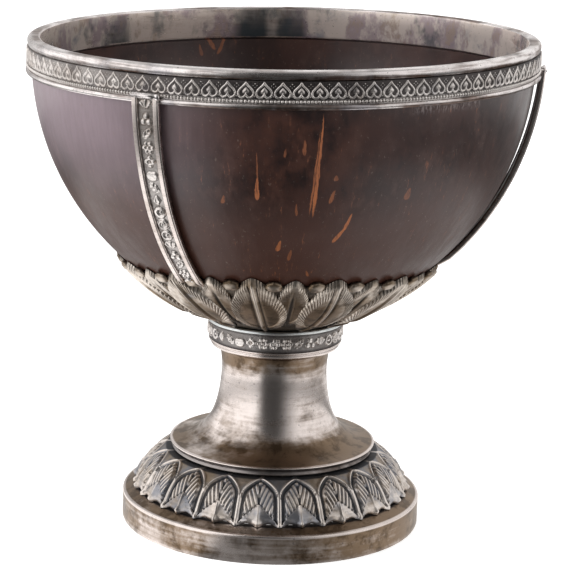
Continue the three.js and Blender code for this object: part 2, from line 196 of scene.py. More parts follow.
def lean(piece):
    """Moves the points of a finished piece by the lean at their place."""
    points = point_array(piece)
    share = np.clip((points[:, 2] - LEAN_FROM) / (LEAN_TO - LEAN_FROM), 0, 1)
    tilt = LEAN_RIGHT * points[:, 0] / RIM_REACH - LEAN_FRONT * points[:, 1] / RIM_REACH
    points[:, 2] += share * share * (3 - 2 * share) * (LEAN_DROP + tilt)
    piece.data.vertices.foreach_set("co", (points * MM).ravel())
    piece.data.update()


# %% [markdown]
# Turned pieces need only an outline. Each of its points may carry its own wear and film, and the
# round stretches are arcs.

# %% Turned pieces
def on_axis(radius, height, azimuth):
    """Points from radius, height and azimuth in degrees, all of one shape."""
    angle = np.radians(azimuth)
    return np.stack([radius * np.sin(angle), -radius * np.cos(angle), height], axis=-1)


def turned(name, outline, turns=192, closed_rows=True, sharp_above=45.0):
    """A turned piece from a list of (radius, height), or with wear and film as well."""
    rows = np.array([tuple(p) + (0.0,) * (4 - len(p)) for p in outline])
    azimuth = np.arange(turns) * 360.0 / turns
    grid = on_axis(rows[:, :1] * np.ones(turns), rows[:, 1:2] * np.ones(turns), azimuth[None, :])
    ends = None if closed_rows else [(0, 0, rows[0, 1]), (0, 0, rows[-1, 1])]
    return closed_skin(name, grid, ends, rows[:, 2:3], rows[:, 3:4], sharp_above)


def arc(r, z, reach_r, reach_z, start, stop, steps, wear=0.0, film=0.0):
    """Points of an elliptical arc in the outline, angles in degrees from outward toward up."""
    angles = np.radians(np.linspace(start, stop, steps + 1))
    return [(r + reach_r * math.cos(a), z + reach_z * math.sin(a), wear, film) for a in angles]


def placed(piece, slot, *nodes, finish=None):
    """Fits a finished piece into the frame: body, material slot and the solids it stands for."""
    lean(piece)
    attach(piece, BODY)
    if nodes:
        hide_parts(*nodes)
    piece.data.materials.clear()
    piece.data.materials.append(finishes[finish or slot])
    print(f"{piece.name}: {len(piece.data.polygons)} faces")
    return piece


# %% [markdown]
# ## Words for node trees
# Every material and every pattern below is a node tree. A small class gives short words for the
# steps that come back all the time, so that each tree reads as a list of what it does.

# %% Node helpers
COLUMN_STEP, ROW_STEP, ROWS = 180, 40, 5


class Wiring:
    """Short words for adding nodes to one tree and joining their sockets."""

    def __init__(self, tree):
        self.tree = tree
        self.column = 0

    def node(self, kind, inputs=None, **settings):
        """A new node with its settings, and its inputs by name or number."""
        made = self.tree.nodes.new(kind)
        self.column += 1
        made.location = (self.column * COLUMN_STEP, -ROW_STEP * (self.column % ROWS))
        for key, value in settings.items():
            setattr(made, key, value)
        self.feed(made, inputs or {})
        return made

    def feed(self, node, inputs):
        """Links each input to another node's output, or gives it a plain value."""
        for key, value in inputs.items():
            if isinstance(value, bpy.types.NodeSocket):
                self.tree.links.new(value, node.inputs[key])
            else:
                node.inputs[key].default_value = value

    def stored(self, layer, output="Fac"):
        return self.node("ShaderNodeAttribute", attribute_name=layer).outputs[output]

    def math(self, operation, a, b=0.0, clamp=False):
        settings = {"operation": operation, "use_clamp": clamp}
        return self.node("ShaderNodeMath", {0: a, 1: b}, **settings).outputs[0]

    def times(self, a, b, clamp=False):
        return self.math("MULTIPLY", a, b, clamp)

    def plus(self, a, b, clamp=False):
        return self.math("ADD", a, b, clamp)

    def minus(self, a, b):
        return self.math("SUBTRACT", a, b)

    def distance(self, a, b):
        """How far a value is from another."""
        return self.math("ABSOLUTE", self.minus(a, b))

    def mix(self, share, a, b, blend="MIX"):
        return self.node("ShaderNodeMix", {"Factor": share, 6: a, 7: b}, data_type="RGBA",
                         blend_type=blend, clamp_factor=True).outputs[2]

    def ramp(self, value, low, high, to_low=0.0, to_high=1.0):
        """A soft step from one value at low to another at high."""
        return self.node("ShaderNodeMapRange", {
            "Value": value, "From Min": low, "From Max": high, "To Min": to_low, "To Max": to_high,
        }, interpolation_type="SMOOTHSTEP").outputs["Result"]

    def noise(self, vector, scale, detail=4.0, roughness=0.55, distortion=0.0):
        return self.node("ShaderNodeTexNoise", {
            "Vector": vector, "Scale": scale, "Detail": detail, "Roughness": roughness,
            "Distortion": distortion,
        }).outputs[0]

    def stretched(self, vector, scale):
        return self.node("ShaderNodeMapping", {"Vector": vector, "Scale": scale}).outputs[0]

    def azimuth(self, x, y):
        """The azimuth in degrees of a direction: 0 at the front, 90 at the right."""
        return self.times(self.math("ARCTAN2", x, self.times(y, -1.0)), 180 / math.pi)


def group(name, inputs, outputs, kind="ShaderNodeTree"):
    """A node group with named sockets. Inputs are (name, socket type, default)."""
    tree = bpy.data.node_groups.new(name, kind)
    for label, socket, default in inputs:
        made = tree.interface.new_socket(label, in_out="INPUT", socket_type=socket)
        if default is not None:
            made.default_value = default
    for label, socket in outputs:
        tree.interface.new_socket(label, in_out="OUTPUT", socket_type=socket)
    return tree


def new_material(name):
    """A material, the wiring of its tree and its Principled shader."""
    material = bpy.data.materials.new(name)
    material.use_nodes = True
    return material, Wiring(material.node_tree), material.node_tree.nodes["Principled BSDF"]


# %% [markdown]
# ## Old silver
# Polished silver is nearly white, but this cup has stood in air for two centuries. Sulphur has
# browned it in broad clouds, a thin blue-grey bloom lies beside the brown, the hollows of the
# ornament have gone nearly black, and the crests are worn bright. A node group mixes these
# colours. Its patches come from noise on Object coordinates, so they stay put on the piece, and
# its crests, hollows and ledges come from the two stored layers. The group puts out colour,
# roughness and a fine surface height; the Principled shader stays outside.

# %% The aged silver group
# patch size, noise level where it begins, colour
THIN_FILM_COLOURS = [
    (1.3, 0.5, (0.36, 0.27, 0.35, 1)),
    (0.9, 0.53, (0.10, 0.135, 0.15, 1)),
    (2.6, 0.54, (0.58, 0.46, 0.36, 1)),
]


def aged_silver_group():
    tree = group(
        "Aged silver",
        [
            ("Bright", "NodeSocketColor", (0.8, 0.75, 0.7, 1)),
            ("Tarnish", "NodeSocketColor", (0.3, 0.2, 0.13, 1)),
            ("Bloom", "NodeSocketColor", (0.3, 0.32, 0.38, 1)),
            ("Oxide", "NodeSocketColor", (0.04, 0.042, 0.05, 1)),
            ("Tarnish amount", "NodeSocketFloat", 0.4),
            ("Bloom amount", "NodeSocketFloat", 0.3),
            ("Patch scale", "NodeSocketFloat", 70.0),
            ("Hollow depth", "NodeSocketFloat", 1.0),
            ("Roughness", "NodeSocketFloat", 0.28),
            ("Sideways streaks", "NodeSocketFloat", 0.5),
            ("Stipple", "NodeSocketFloat", 0.0),
            ("Thin film", "NodeSocketFloat", 0.0),
        ],
        [("Color", "NodeSocketColor"), ("Roughness", "NodeSocketFloat"), ("Height", "NodeSocketFloat")],
    )
    w = Wiring(tree)
    given = w.node("NodeGroupInput").outputs
    place = w.node("ShaderNodeTexCoord").outputs["Object"]
    wear = w.stored("wear")
    film = w.stored("film")
    clouds = w.noise(place, given["Patch scale"], 5.0, 0.62, 0.3)
    smudges = w.noise(place, w.times(given["Patch scale"], 3.4), 4.0, 0.66, 0.2)
    specks = w.noise(place, 900.0, 3.0, 0.6)
    streaks = w.noise(w.stretched(place, (60, 60, 900)), 1.0, 3.0, 0.6)
    streaked = w.times(w.minus(streaks, 0.5), given["Sideways streaks"])
    patchy = w.plus(w.times(clouds, 1.25), w.times(smudges, 0.6))
    patchy = w.plus(w.minus(patchy, 0.425), w.times(specks, 0.2))
    patchy = w.plus(w.plus(patchy, streaked), w.times(film, 0.5))
    threshold = w.minus(1.0, w.times(given["Tarnish amount"], 0.75))
    brown = w.ramp(patchy, w.minus(threshold, 0.3), w.plus(threshold, 0.32))
    crest = w.ramp(wear, 0.1, 0.9)
    brown = w.times(brown, w.minus(1.0, w.times(crest, 0.75)))
    cool = w.noise(place, w.times(given["Patch scale"], 1.7), 5.0, 0.65, 0.15)
    edge = w.minus(0.82, w.times(given["Bloom amount"], 0.5))
    cool = w.ramp(cool, w.minus(edge, 0.1), w.plus(edge, 0.12), 0.0, 0.8)
    hollow = w.ramp(w.times(wear, -1.0), 0.05, 0.75)
    hollow = w.times(hollow, given["Hollow depth"], clamp=True)
    deep = w.ramp(smudges, 0.42, 0.62, 0.0, 0.8)
    deep = w.mix(deep, given["Tarnish"], (0.42, 0.40, 0.38, 1), "MULTIPLY")
    color = w.mix(brown, given["Bright"], w.mix(w.ramp(smudges, 0.42, 0.62), given["Tarnish"], deep))
    color = w.mix(w.times(cool, w.minus(1.0, crest)), color, given["Bloom"])
    for size, low, tint in THIN_FILM_COLOURS:
        spots = w.noise(w.stretched(place, (size, size, 0.6 * size)), given["Patch scale"], 5.0, 0.66)
        spots = w.times(w.ramp(spots, low, low + 0.1, 0.0, 0.85), given["Thin film"])
        color = w.mix(spots, color, tint)
    pits = w.ramp(w.noise(place, 1500.0, 2.0, 0.6), 0.66, 0.74, 0.0, 0.55)
    color = w.mix(pits, color, given["Oxide"])
    color = w.mix(hollow, color, given["Oxide"])
    rough = w.plus(given["Roughness"], w.times(brown, 0.16))
    rough = w.plus(rough, w.times(hollow, 0.16), clamp=True)
    scratches = w.noise(w.stretched(place, (300, 300, 2600)), 1.0, 2.0, 0.5)
    dents = w.noise(place, 90.0, 2.0, 0.5)
    punched = w.times(w.noise(place, 2400.0, 1.0, 0.5), given["Stipple"])
    height = w.plus(w.plus(w.times(scratches, 0.25), dents), punched)
    w.node("NodeGroupOutput", {"Color": color, "Roughness": rough, "Height": height})
    return tree


silver_group = aged_silver_group()
print("aged silver:", len(silver_group.nodes), "nodes")

# %% [markdown]
# One group, eight finishes. Plain silver serves the smooth pieces. Lip silver is whiter and
# streaked sideways, wire silver is cool and clean. The lining has never been polished: it is
# blotched, and so dull that it scatters part of the light. Stamped strip has a punched ground that
# holds grey dirt. The chased leaves are olive-brown between bright ribs, and those of the foot
# have more of the blue-grey bloom. The bolt is dull metal.

# %% Silver finishes
SURFACE_RELIEF = 0.06 * MM


def silver_finish(name, bump=0.25, metallic=1.0, **values):
    """A silver material: the group gives colour, roughness and height to one Principled shader."""
    material, w, shader = new_material(name)
    look = w.node(
        "ShaderNodeGroup",
        {key.replace("_", " ").capitalize(): value for key, value in values.items()},
        node_tree=silver_group)
    relief = w.node("ShaderNodeBump", {
        "Strength": bump, "Distance": SURFACE_RELIEF, "Height": look.outputs["Height"]})
    w.feed(shader, {
        "Metallic": metallic, "Base Color": look.outputs["Color"],
        "Roughness": look.outputs["Roughness"], "Normal": relief.outputs["Normal"]})
    return material


SILVERS = {
    "silver": dict(
        bright=(0.88, 0.795, 0.76, 1), tarnish=(0.25, 0.178, 0.12, 1), bloom=(0.42, 0.40, 0.43, 1),
        oxide=(0.055, 0.058, 0.07, 1), tarnish_amount=0.42, bloom_amount=0.2, roughness=0.22,
        sideways_streaks=0.7),
    "lip_silver": dict(
        bright=(0.92, 0.87, 0.86, 1), tarnish=(0.20, 0.135, 0.11, 1), bloom=(0.52, 0.50, 0.54, 1),
        oxide=(0.05, 0.042, 0.04, 1), tarnish_amount=0.36, bloom_amount=0.4, patch_scale=60.0,
        roughness=0.22, sideways_streaks=2.2),
    "wire_silver": dict(
        bright=(0.84, 0.87, 0.87, 1), tarnish=(0.42, 0.42, 0.40, 1), bloom=(0.55, 0.60, 0.63, 1),
        oxide=(0.06, 0.065, 0.075, 1), tarnish_amount=0.2, bloom_amount=0.6, roughness=0.3),
    "lining_silver": dict(
        metallic=0.65, bright=(0.92, 0.83, 0.76, 1), tarnish=(0.36, 0.27, 0.225, 1),
        bloom=(0.27, 0.31, 0.38, 1), oxide=(0.05, 0.065, 0.075, 1), tarnish_amount=0.42,
        bloom_amount=0.4, patch_scale=80.0, roughness=0.22, sideways_streaks=0.9, thin_film=0.75),
    "stamped_silver": dict(
        bump=0.5, bright=(0.92, 0.87, 0.84, 1), tarnish=(0.42, 0.35, 0.305, 1),
        bloom=(0.38, 0.37, 0.40, 1), oxide=(0.085, 0.076, 0.076, 1), tarnish_amount=0.35,
        bloom_amount=0.4, roughness=0.29, stipple=3.0),
    "chased_silver": dict(
        bump=0.3, bright=(0.84, 0.765, 0.69, 1), tarnish=(0.27, 0.20, 0.135, 1),
        bloom=(0.36, 0.36, 0.38, 1), oxide=(0.045, 0.040, 0.038, 1), tarnish_amount=0.52,
        bloom_amount=0.25, hollow_depth=0.9, roughness=0.3, sideways_streaks=0.1),
    "foot_silver": dict(
        bump=0.3, bright=(0.88, 0.81, 0.76, 1), tarnish=(0.34, 0.27, 0.20, 1),
        bloom=(0.29, 0.31, 0.36, 1), oxide=(0.045, 0.048, 0.056, 1), tarnish_amount=0.45,
        bloom_amount=0.7, hollow_depth=0.9, roughness=0.3),
    "bolt_silver": dict(
        bright=(0.5, 0.47, 0.43, 1), tarnish=(0.22, 0.17, 0.13, 1), tarnish_amount=0.6,
        roughness=0.45),
}
finishes = {name: silver_finish(name, **look) for name, look in SILVERS.items()}
print("finishes:", ", ".join(finishes))

# %% [markdown]
# ## The curve of the nut
# The nut is an ellipse of revolution: widest at the rim, flat where it sits in the calyx. Straps
# and leaves all hug it, so they are drawn flat, in millimetres across, up and out, and one
# function lays such a drawing on the nut. Up is the length along the curve from the bottom pole.

# %% Laying flat drawings on the nut
NUT_SEAT, NUT_TOP, NUT_RADIUS = levels("coconut_bowl")
NUT_DEPTH = 64.0
SEAT_RADIUS = 11.35
NUT_CENTRE = NUT_SEAT + NUT_DEPTH * math.sqrt(1 - (SEAT_RADIUS / NUT_RADIUS) ** 2)
NUT_WALL = 2.7
CURVE_ANGLES = np.linspace(-math.pi / 2, 0.3, 1500)
CURVE_LENGTHS = np.concatenate([[0.0], np.cumsum(np.hypot(
    np.diff(NUT_RADIUS * np.cos(CURVE_ANGLES)), np.diff(NUT_DEPTH * np.sin(CURVE_ANGLES))))])


def length_at(height):
    """Length up the nut's curve at a height."""
    return float(np.interp(math.asin((height - NUT_CENTRE) / NUT_DEPTH), CURVE_ANGLES, CURVE_LENGTHS))


def off_nut(up, out):
    """Radius and height of a point at a length up the curve that stands off the nut."""
    angle = np.interp(up, CURVE_LENGTHS, CURVE_ANGLES)
    normal_r, normal_z = np.cos(angle) / NUT_RADIUS, np.sin(angle) / NUT_DEPTH
    length = np.hypot(normal_r, normal_z)
    radius = NUT_RADIUS * np.cos(angle) + normal_r / length * out
    return radius, NUT_CENTRE + NUT_DEPTH * np.sin(angle) + normal_z / length * out


def on_nut(across, up, out, azimuth=0.0):
    """Points of a flat drawing laid on the nut, its middle line at an azimuth in degrees."""
    radius, height = off_nut(up, out)
    return on_axis(radius, height, azimuth + np.degrees(across / np.maximum(radius, 1.0)))


def from_nut(points):
    """The azimuth in degrees, length up the curve and stand-off of points near the nut."""
    x, y, z = np.asarray(points).T
    radius, height = np.hypot(x, y), z - NUT_CENTRE
    angle = np.arctan2(height / NUT_DEPTH, radius / NUT_RADIUS)
    for _ in range(6):
        along_r, along_z = -NUT_RADIUS * np.sin(angle), NUT_DEPTH * np.cos(angle)
        gap_r, gap_z = radius - NUT_RADIUS * np.cos(angle), height - NUT_DEPTH * np.sin(angle)
        angle = angle + (gap_r * along_r + gap_z * along_z) / (along_r**2 + along_z**2)
    gap_r, gap_z = radius - NUT_RADIUS * np.cos(angle), height - NUT_DEPTH * np.sin(angle)
    out = np.hypot(gap_r, gap_z) * np.sign(gap_r * np.cos(angle) + gap_z * np.sin(angle))
    return np.degrees(np.arctan2(x, -y)), np.interp(angle, CURVE_ANGLES, CURVE_LENGTHS), out


print("nut centre at", round(NUT_CENTRE, 2), "mm, curve to the rim", round(length_at(NUT_TOP), 1))

# %% [markdown]
# ## Polished coconut shell
# The shell is a dense, dark, purple-brown wood whose fibres run from pole to pole. Where they come
# up through the polish they show as orange-brown streaks and flecks. The mesh stores `grain`: the
# direction round the axis at the widest girth, and the length up the curve. Noise that is read
# slowly along the last value gives streaks that run the way the fibres do, on the steep wall and
# the flat bottom alike. The few streaks that one would know this cup by are listed one by one.

# %% Streak group
STREAK_NAMES = ("Azimuth", "Centre", "Half length", "Half width", "Lean")


def one_streak_group():
    tree = group(
        "One fibre streak",
        [("Around", "NodeSocketFloat", 0.0), ("Up", "NodeSocketFloat", 0.0),
         ("Ragged", "NodeSocketFloat", 0.5), ("Azimuth", "NodeSocketFloat", 0.0),
         ("Centre", "NodeSocketFloat", 0.0), ("Half length", "NodeSocketFloat", 5.0),
         ("Half width", "NodeSocketFloat", 0.5), ("Lean", "NodeSocketFloat", 0.0)],
        [("Mask", "NodeSocketFloat")],
    )
    w = Wiring(tree)
    given = w.node("NodeGroupInput").outputs
    climb = w.minus(given["Up"], given["Centre"])
    along = w.math("DIVIDE", climb, given["Half length"])
    bend = w.times(w.minus(given["Ragged"], 0.5), 0.8)
    sideways = w.minus(given["Around"], given["Azimuth"])
    sideways = w.plus(w.times(sideways, math.pi * NUT_RADIUS / 180), bend)
    sideways = w.minus(sideways, w.times(climb, given["Lean"]))
    narrowing = w.times(given["Half width"], w.ramp(along, 1.2, -0.6, 0.6, 1.35))
    across = w.math("DIVIDE", sideways, narrowing)
    away = w.plus(w.math("POWER", w.math("ABSOLUTE", along), 4.0), w.times(across, across))
    w.node("NodeGroupOutput", {"Mask": w.ramp(away, 1.25, 0.55)})
    return tree


streak_group = one_streak_group()
print("streak inputs:", ", ".join(STREAK_NAMES))

# %% [markdown]
# The polish is a thin, worn lacquer. It shows the lamps as a broad milky sheen, so the coat is soft
# and the base itself stays very dark. On the upper left a mauve-grey sheen, a painted reflection,
# lies in the base colour. Lower down, where hands hold the cup, there is less shine and more brown.

# %% Coconut material
# azimuth, length up the curve, half length, half width, lean, strength
LONG_STREAKS = [
    (8.3, 78.5, 12.0, 0.32, 0.03, 0.95),
    (7.6, 77.0, 10.0, 0.20, 0.05, 0.7),
    (16.9, 64.8, 2.3, 0.38, 0.25, 0.85),
    (15.3, 61.2, 2.3, 0.50, 0.62, 0.85),
    (12.0, 71.5, 1.7, 0.38, 0.27, 0.55),
    (12.4, 76.1, 0.7, 0.45, 0.0, 0.4),
    (-5.1, 73.3, 2.8, 0.42, -0.04, 0.85),
    (-5.1, 78.6, 3.4, 0.14, -0.02, 0.5),
    (0.1, 57.9, 1.7, 0.50, 0.23, 0.7),
    (3.1, 55.0, 1.8, 0.45, 0.15, 0.35),
    (5.0, 83.2, 1.8, 0.30, 0.02, 0.5),
    (30.9, 71.2, 1.5, 0.7, 0.07, 0.35),
    (-13.0, 70.3, 1.1, 0.35, 0.2, 0.45),
    (0.9, 82.0, 1.0, 0.25, 0.11, 0.4),
    (4.0, 68.2, 1.6, 0.25, 0.0, 0.4),
    (8.9, 48.6, 1.1, 0.35, -0.44, 0.4),
    (-160.0, 91.5, 2.6, 0.5, 0.55, 0.55),
    (-163.5, 90.5, 2.8, 0.45, -0.45, 0.5),
    (-157.5, 89.0, 1.6, 0.4, 0.2, 0.4),
]


def coconut_finish():
    material, w, shader = new_material("nutshell")
    grain = w.stored("grain", "Vector")
    turn = w.node("ShaderNodeSeparateXYZ", {0: grain})
    around = w.azimuth(turn.outputs[0], turn.outputs[1])
    up = turn.outputs[2]
    fibre = w.noise(w.stretched(grain, (0.9, 0.9, 0.11)), 1.0, 5.0, 0.65, 0.3)
    fine = w.noise(w.stretched(grain, (3.0, 3.0, 0.7)), 1.0, 3.0, 0.6)
    clouds = w.noise(w.stretched(grain, (0.05, 0.05, 0.045)), 1.0, 4.0, 0.6)
    blots = w.noise(w.stretched(grain, (0.2, 0.2, 0.15)), 1.0, 5.0, 0.65)

    # the wood: cloudy, blotted, fibrous, browner low down
    base = w.mix(w.ramp(clouds, 0.38, 0.62), (0.017, 0.007, 0.0048, 1), (0.038, 0.0145, 0.0095, 1))
    for mask, tint in (
        (w.ramp(blots, 0.5, 0.7, 0.0, 0.75), (0.060, 0.032, 0.024, 1)),
        (w.ramp(blots, 0.42, 0.28, 0.0, 0.8), (0.012, 0.006, 0.0055, 1)),
        (w.ramp(fibre, 0.55, 0.8, 0.0, 0.4), (0.085, 0.036, 0.020, 1)),
        (w.ramp(fine, 0.35, 0.2, 0.0, 0.35), (0.012, 0.008, 0.008, 1)),
        (w.ramp(up, 76.0, 60.0, 0.0, 0.7), (0.066, 0.028, 0.019, 1)),
    ):
        base = w.mix(mask, base, tint)

    # a warm patch high at the front, and flecks where fibres come up
    warm = w.times(w.ramp(w.distance(around, 3.0), 24.0, 5.0), w.ramp(w.distance(up, 82.0), 19.0, 4.0))
    warm = w.times(warm, w.ramp(blots, 0.36, 0.62))
    base = w.mix(w.times(warm, 0.8), base, (0.062, 0.0175, 0.006, 1))
    flecks = w.times(w.ramp(fibre, 0.56, 0.62), w.ramp(fine, 0.55, 0.62))
    flecks = w.times(flecks, w.ramp(blots, 0.44, 0.58))
    base = w.mix(w.times(flecks, 0.55), base, (0.25, 0.085, 0.032, 1))

    # a painted sheen high on the left, only outside: a mauve-grey reflection in the base colour; and
    # pale crumbs of wax under the rim
    painted_sheen = w.times(w.ramp(around, -6.0, -46.0), w.ramp(around, -112.0, -74.0, 0.1, 1.0))
    painted_sheen = w.times(painted_sheen, w.ramp(w.plus(up, w.times(clouds, 12.0)), 68.0, 93.0))
    painted_sheen = w.times(painted_sheen, w.ramp(fibre, 0.35, 0.65, 0.86, 1.0))
    painted_sheen = w.times(painted_sheen, w.stored("film"))
    base = w.mix(w.times(painted_sheen, 0.95), base, (0.22, 0.178, 0.2, 1))
    under_rim = w.ramp(up, length_at(107.6), length_at(109.4))
    crumbs = w.times(w.ramp(w.distance(around, 38.0), 11.0, 7.0), under_rim)
    crumbs = w.times(crumbs, w.ramp(fine, 0.5, 0.56, 0.0, 0.8))
    base = w.mix(crumbs, base, (0.20, 0.17, 0.165, 1))
    motes = w.noise(w.stretched(grain, (1.5, 1.5, 1.2)), 1.0, 2.0, 0.7)
    base = w.mix(w.ramp(motes, 0.66, 0.72, 0.0, 0.45), base, (0.17, 0.13, 0.10, 1))

    # the long streaks
    ragged = w.noise(w.stretched(grain, (0.5, 0.5, 0.35)), 1.0, 4.0, 0.6)
    broken = w.noise(w.stretched(grain, (5.0, 5.0, 0.5)), 1.0, 3.0, 0.6)
    broken = w.ramp(broken, 0.34, 0.5, 0.35, 1.0)
    for *shape, strength in LONG_STREAKS:
        inputs = zip(("Around", "Up", "Ragged") + STREAK_NAMES, (around, up, ragged, *shape))
        one = w.node("ShaderNodeGroup", dict(inputs), node_tree=streak_group)
        base = w.mix(w.times(w.times(one.outputs[0], broken), strength), base, (0.39, 0.125, 0.035, 1))

    # the worn polish
    pores = w.noise(w.stretched(grain, (7.0, 7.0, 1.2)), 1.0, 2.0, 0.5)
    lumps = w.noise(w.stretched(grain, (0.16, 0.16, 0.12)), 1.0, 2.0, 0.5)
    heights = w.plus(w.plus(w.times(pores, 0.35), w.times(blots, 0.8)), w.times(lumps, 5.0))
    relief = w.node("ShaderNodeBump", {"Strength": 0.3, "Distance": 0.12 * MM, "Height": heights})
    w.feed(shader, {
        "Base Color": base,
        "Roughness": w.ramp(blots, 0.3, 0.7, 0.34, 0.46),
        "Normal": relief.outputs["Normal"],
        "Specular IOR Level": w.ramp(up, 48.0, 84.0, 0.2, 0.75),
        "Specular Tint": (1.0, 0.92, 0.96, 1),
        "Coat Weight": w.ramp(up, 48.0, 84.0, 0.06, 0.5),
        "Coat Roughness": 0.22,
        "Coat Tint": (1.0, 0.94, 0.95, 1),
    })
    return material


finishes["nutshell"] = coconut_finish()
print("streaks placed by hand:", len(LONG_STREAKS))

# %% [markdown]
# ## The nut
# Under the rim mounts the edge of the nut was pared thinner, so that the silver lining lies flush
# with the polished inside.

# %% Coconut bowl
lip_low, lip_high, lip_radius = levels("rim_lip")
lining_low, lining_high, lining_radius = levels("rim_lining")


def coconut_bowl():
    """The bowl, with `film` 1 outside, so that its painted sheen stays off the inside."""
    rebate = lining_low - SEAM
    rim_inner = lining_radius + SEAM
    ends = length_at(NUT_SEAT), length_at(NUT_CENTRE)
    outside = [(*off_nut(up, 0.0), 0.0, 1.0) for up in np.linspace(*ends, 72)]
    inside = [off_nut(up, -NUT_WALL) for up in np.linspace(ends[0], length_at(rebate), 60)[1:]]
    inside = [(r, z) for r, z in inside if z < rebate - 0.2]
    mouth = off_nut(length_at(rebate), -NUT_WALL)[0]
    edge = [(NUT_RADIUS, NUT_TOP), (rim_inner, NUT_TOP), (rim_inner, rebate), (mouth, rebate)]
    bowl = turned("coconut_shell", outside + edge + inside[::-1], closed_rows=False, sharp_above=50)
    azimuth, up, _ = from_nut(point_array(bowl))
    grain = on_axis(np.full(len(up), NUT_RADIUS), up, azimuth)
    layer = bowl.data.attributes.new("grain", "FLOAT_VECTOR", "POINT")
    layer.data.foreach_set("vector", grain.ravel())
    return placed(bowl, "nutshell", "coconut_bowl")


coconut_bowl()

# %% [markdown]
# ## The rim mounts
# From the top: a rolled lip, a strip stamped with hearts, a row of fine beads and a half-round
# wire, all soldered into one collar round the nut. The plain lining comes up behind the lip to
# its top edge. Wear is written into the outlines: bright on the roll, dark in the crevice. Then
# film and wear shift with the azimuth. Lip and wire are clean at the left, where hands have rubbed
# them, and browned at the front and far right. Behind on the right the lining is made bright and
# clean, a painted highlight where the left lamp lights its inside; straight behind and behind on
# the left it is spotted dark.

# %% Lip, lining and lower wire
band_low, band_high, band_radius = levels("rim_heart_band")
bead_low, bead_high, bead_radius = levels("rim_bead_wire")
wire_low, wire_high, wire_radius = levels("rim_lower_wire")
RIM_TURNS = 256
LINING_INNER = lining_radius - 0.6
LIP_INNER = LINING_INNER + 0.25
BAND_INNER = NUT_RADIUS + SEAM

lip_round = (lip_high - lip_low) / 2
lip = turned("lip_roll", [
    (LIP_INNER, lip_low - 0.2, 0.0, 0.3),
    (lip_radius - 0.75, lip_low - 0.2, -0.8),
    *arc(lip_radius - 0.6, lip_low + 0.5, 0.55, 0.62, -75, -20, 4, 0.0, 0.35),
    (lip_radius, lip_low + lip_round - 0.1, 0.45, -0.2),
    *arc(lip_radius - lip_round, lip_high - 0.95, lip_round, 0.95, 8, 62, 7, 0.4, -0.2),
    (lip_radius - lip_round - 0.1, lip_high - 0.02, 0.2, 0.1),
    (LIP_INNER + 0.35, lip_high - 0.03, 0.2, 0.15),
    (LIP_INNER, lip_high - 0.25, 0.5),
], turns=RIM_TURNS, sharp_above=60)
browned = by_azimuth(lip, (-60, -10, 20, 40, 62, 75, 120), (0.0, 0.5, 0.45, 0.1, 0.15, 0.6, 0.6))
browned_top = by_azimuth(lip, (58, 74, 120), (0.0, 0.45, 0.3))
below = point_array(lip)[:, 2] < lip_low + lip_round + 0.1
shift_layer(lip.data, "film", np.where(below, 0.9 * browned, 0.05 * browned + browned_top))
shift_layer(lip.data, "wear", np.where(below, -0.35 * browned, -0.5 * browned_top))
placed(lip, "silver", "rim_lip", finish="lip_silver")

lining = turned("lining_sheet", [
    (lining_radius, lining_low, 0.0),
    (lining_radius, lining_high, 0.0),
    (LIP_INNER + 0.1, lining_high, 0.0),
    (LIP_INNER + 0.1, lip_high - 0.4, 0.3),
    (LINING_INNER + 0.05, lip_high - 0.35, 0.6),
    (LINING_INNER, lip_high - 0.8, 0.1),
    (LINING_INNER - 0.05, (lining_low + lip_high) / 2, 0.0),
    (LINING_INNER, lining_low + 0.5, -0.15),
    (LINING_INNER, lining_low + 0.2, 0.5),
    (LINING_INNER + 0.15, lining_low, 0.3),
], turns=RIM_TURNS, sharp_above=60)
round_back = azimuths(lining) % 360
# brighter, less filmed silver behind on the right is painted light from the left lamp; the blotches are
# spots of tarnish
lamp_lit_back_right = np.interp(round_back, (60, 100, 125, 164, 173, 196, 240),
                    (-0.2, -0.1, 1.0, 1.0, 0.0, 0.0, 0.3))
blotches = np.interp(round_back, (173, 175.5, 181, 183.5, 185.5, 191, 195, 222, 224, 230, 232),
                     (0.0, 0.8, 0.9, 0.4, 1.0, 0.9, 0.1, 0.1, 0.9, 0.8, 0.0))
shift_layer(lining.data, "wear", 0.5 * lamp_lit_back_right - 0.62 * blotches)
shift_layer(lining.data, "film", 0.4 * blotches - 0.8 * lamp_lit_back_right - 0.2)
placed(lining, "lining_silver", "rim_lining")

wire_round = (wire_high - wire_low) / 2
wire_bend = wire_radius - wire_round, wire_low + wire_round, wire_round, wire_round + 0.1
lower_wire = turned("lower_wire", [
    (BAND_INNER - 0.2, wire_low, -0.5),
    *arc(*wire_bend, -90, -30, 5, 0.1, 0.2),
    *arc(*wire_bend, -18, 90, 8, 0.4),
    (BAND_INNER - 0.2, wire_high, -0.6),
], turns=RIM_TURNS, sharp_above=80)
browned = by_azimuth(lower_wire, (-60, -20, 30, 60, 120), (0.0, 0.25, 0.7, 0.9, 0.9))
shift_layer(lower_wire.data, "film", 0.4 * browned)
shift_layer(lower_wire.data, "wear", -0.2 * browned)
placed(lower_wire, "silver", "rim_lower_wire", finish="lip_silver")

# %% [markdown]
# ## Ornament that repeats
# The hearts, beads, leaves and flowers were all struck from one punch or cast from one pattern,
# again and again. Geometry Nodes do the same: one pattern piece is made at the front of the cup,
# and a node tree sets copies of it round the axis. The tree ends in Realize Instances, because a
# later export keeps real meshes only, and Set Material gives the finish.

# %% A tree that sets copies round the axis
def geometry_group(name, inputs):
    """A tree that makes a mesh of one finish, with its wiring and its inputs."""
    tree = group(
        name,
        [("Geometry", "NodeSocketGeometry", None), *inputs, ("Finish", "NodeSocketMaterial", None)],
        [("Geometry", "NodeSocketGeometry")],
        "GeometryNodeTree",
    )
    w = Wiring(tree)
    return tree, w, w.node("NodeGroupInput").outputs


